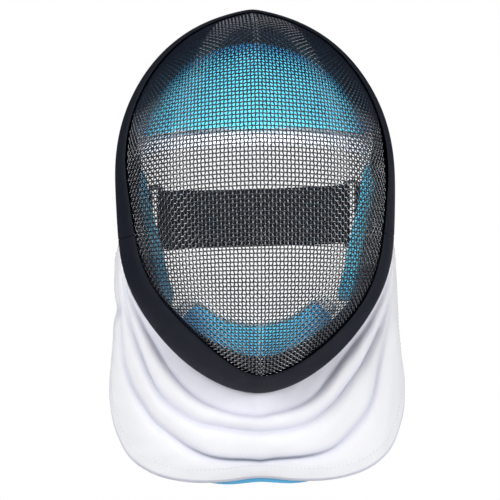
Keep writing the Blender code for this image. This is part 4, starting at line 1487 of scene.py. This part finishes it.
def hooked(bar, towards, tail, apart):
    """A flat run that comes from 'towards', goes round the bar and lies back on itself."""
    along = unit(towards - bar)
    aside = np.array([-along[1], along[0]])
    points = [bar + along * tail - aside * (radius - apart)]
    points.append(bar + along * radius * LOOP_TAPER - aside * (radius - apart * 0.5))
    for turn in np.radians(-90 - 180 * np.arange(13) / 12):
        points.append(bar + along * radius * cos(turn) + aside * radius * sin(turn))
    return points


def webbing(name, path, width, node):
    """A flat band on edge, along a path seen from above."""
    shares = np.linspace(-0.5, 0.5, 7)
    rows = [[place(x, y, STRAP_LEVEL + STRAP_TILT * x + share * width) for x, y in path] for share in shares]
    return cloth(name, rows, elastic, STRAP_WALL, "black_elastic", node, levels=0)


bar = ring_bar(-1, True)
run = []
for share in np.linspace(-STRAP_SPAN, STRAP_SPAN, 33):
    bow = STRAP_BOW * (1 - share**2) + radius * (1 - share**2) ** 0.5
    run.append(np.array([abs(bar[0]) * share, bar[1] + bow]))
hook = hooked(bar, run[0] - np.array([0, radius]), STRAP_TAIL, radius * 0.9)
strap_path = [*hook, *run, *[point * (-1, 1) for point in reversed(hook)]]
strap = webbing("back_strap_elastic", strap_path, STRAP_WIDTH, "back_strap")
for label, side in SIDES:
    bar, anchor = ring_bar(side, False), np.array(TAB_ANCHOR) * (side, 1)
    aside = unit(anchor - bar)[::-1] * (-1, 1)
    path = hooked(bar, anchor, TAB_TAIL, radius * 0.8)
    path += [bar + (anchor - bar) * TAB_MIDDLE + aside * radius, anchor + aside * TAB_LIFT]
    tab = webbing(f"tab_{label}_elastic", path, STRAP_WIDTH - TAB_INSET, f"anchor_tab_{label}")

# %% [markdown]
# ## Studio
# The mask floats in front of a white background. It would wash the wires out if it also lit them at full
# strength, so what the camera sees of it and what lights the mask have different strengths, and the floor is
# lifted for the camera in the same way. Two tall soft boxes in front draw one long glint down each bend of the
# wires, a weak one above and one behind fill in, and two small lamps inside stand for the light that comes in
# through the wires. The camera sees none of them.

# %% Light and floor
AMBIENT = 0.06
FLOOR_DROP, FLOOR_GLOW = 0.9, 0.55
MIDDLE = (0.0, -0.05, -0.15)
WHITE, BLACK = (1.0, 1.0, 1.0), (0.0, 0.0, 0.0)

world = bpy.data.worlds.new("white_studio")
bpy.context.scene.world = world
world.use_nodes = True
sky = Graph(world.node_tree)
seen = sky.node("ShaderNodeLightPath", out="Is Camera Ray")
sky.set(sky.tree.nodes["Background"], Color=(*WHITE, 1.0), Strength=seen * (1 - AMBIENT) + AMBIENT)


def softbox(name, spot, aim, size, power):
    lamp = bpy.data.lights.new(name, "AREA")
    lamp.shape, lamp.size, lamp.size_y, lamp.energy = "RECTANGLE", *size, power
    obj = new_object(name, lamp)
    obj.location = spot
    obj.rotation_euler = (Vector(aim) - Vector(spot)).to_track_quat("-Z", "Y").to_euler()
    obj.visible_camera = False


softbox("key", (-1.10, -1.10, 0.50), MIDDLE, (0.5, 1.4), 25.5)
softbox("fill", (1.20, -1.00, 0.15), MIDDLE, (0.45, 1.2), 19.5)
softbox("top", (0.0, -0.25, 1.20), MIDDLE, (1.0, 0.8), 0.8)
softbox("behind", (0.4, 1.10, -0.55), MIDDLE, (1.0, 1.0), 5)
softbox("inside_up", (0.0, -0.085, -0.100), (0.0, 0.0, -0.040), (0.06, 0.06), 0.28)
softbox("inside_down", (0.0, -0.098, -0.142), (0.0, -0.035, -0.218), (0.06, 0.03), 0.115)

floor_finish = Finish("pale_floor", Roughness=0.9, Emission_Strength=FLOOR_GLOW)
looked_at = floor_finish.node("ShaderNodeLightPath", out="Is Camera Ray")
floor_finish.vary(
    Base_Color=floor_finish.patchy(0.4, (0.86, 0.86, 0.86), (0.90, 0.90, 0.90)),
    Emission_Color=floor_finish.blend(looked_at, BLACK, WHITE),
)
bpy.ops.mesh.primitive_plane_add(size=6.0, location=(0, 0, -FLOOR_DROP))
floor = bpy.context.object
floor.name = "floor"
floor.data.materials.append(floor_finish.material)
bpy.context.scene.view_settings.view_transform = "Standard"
print("lamps:", [lamp.name for lamp in bpy.data.lights])
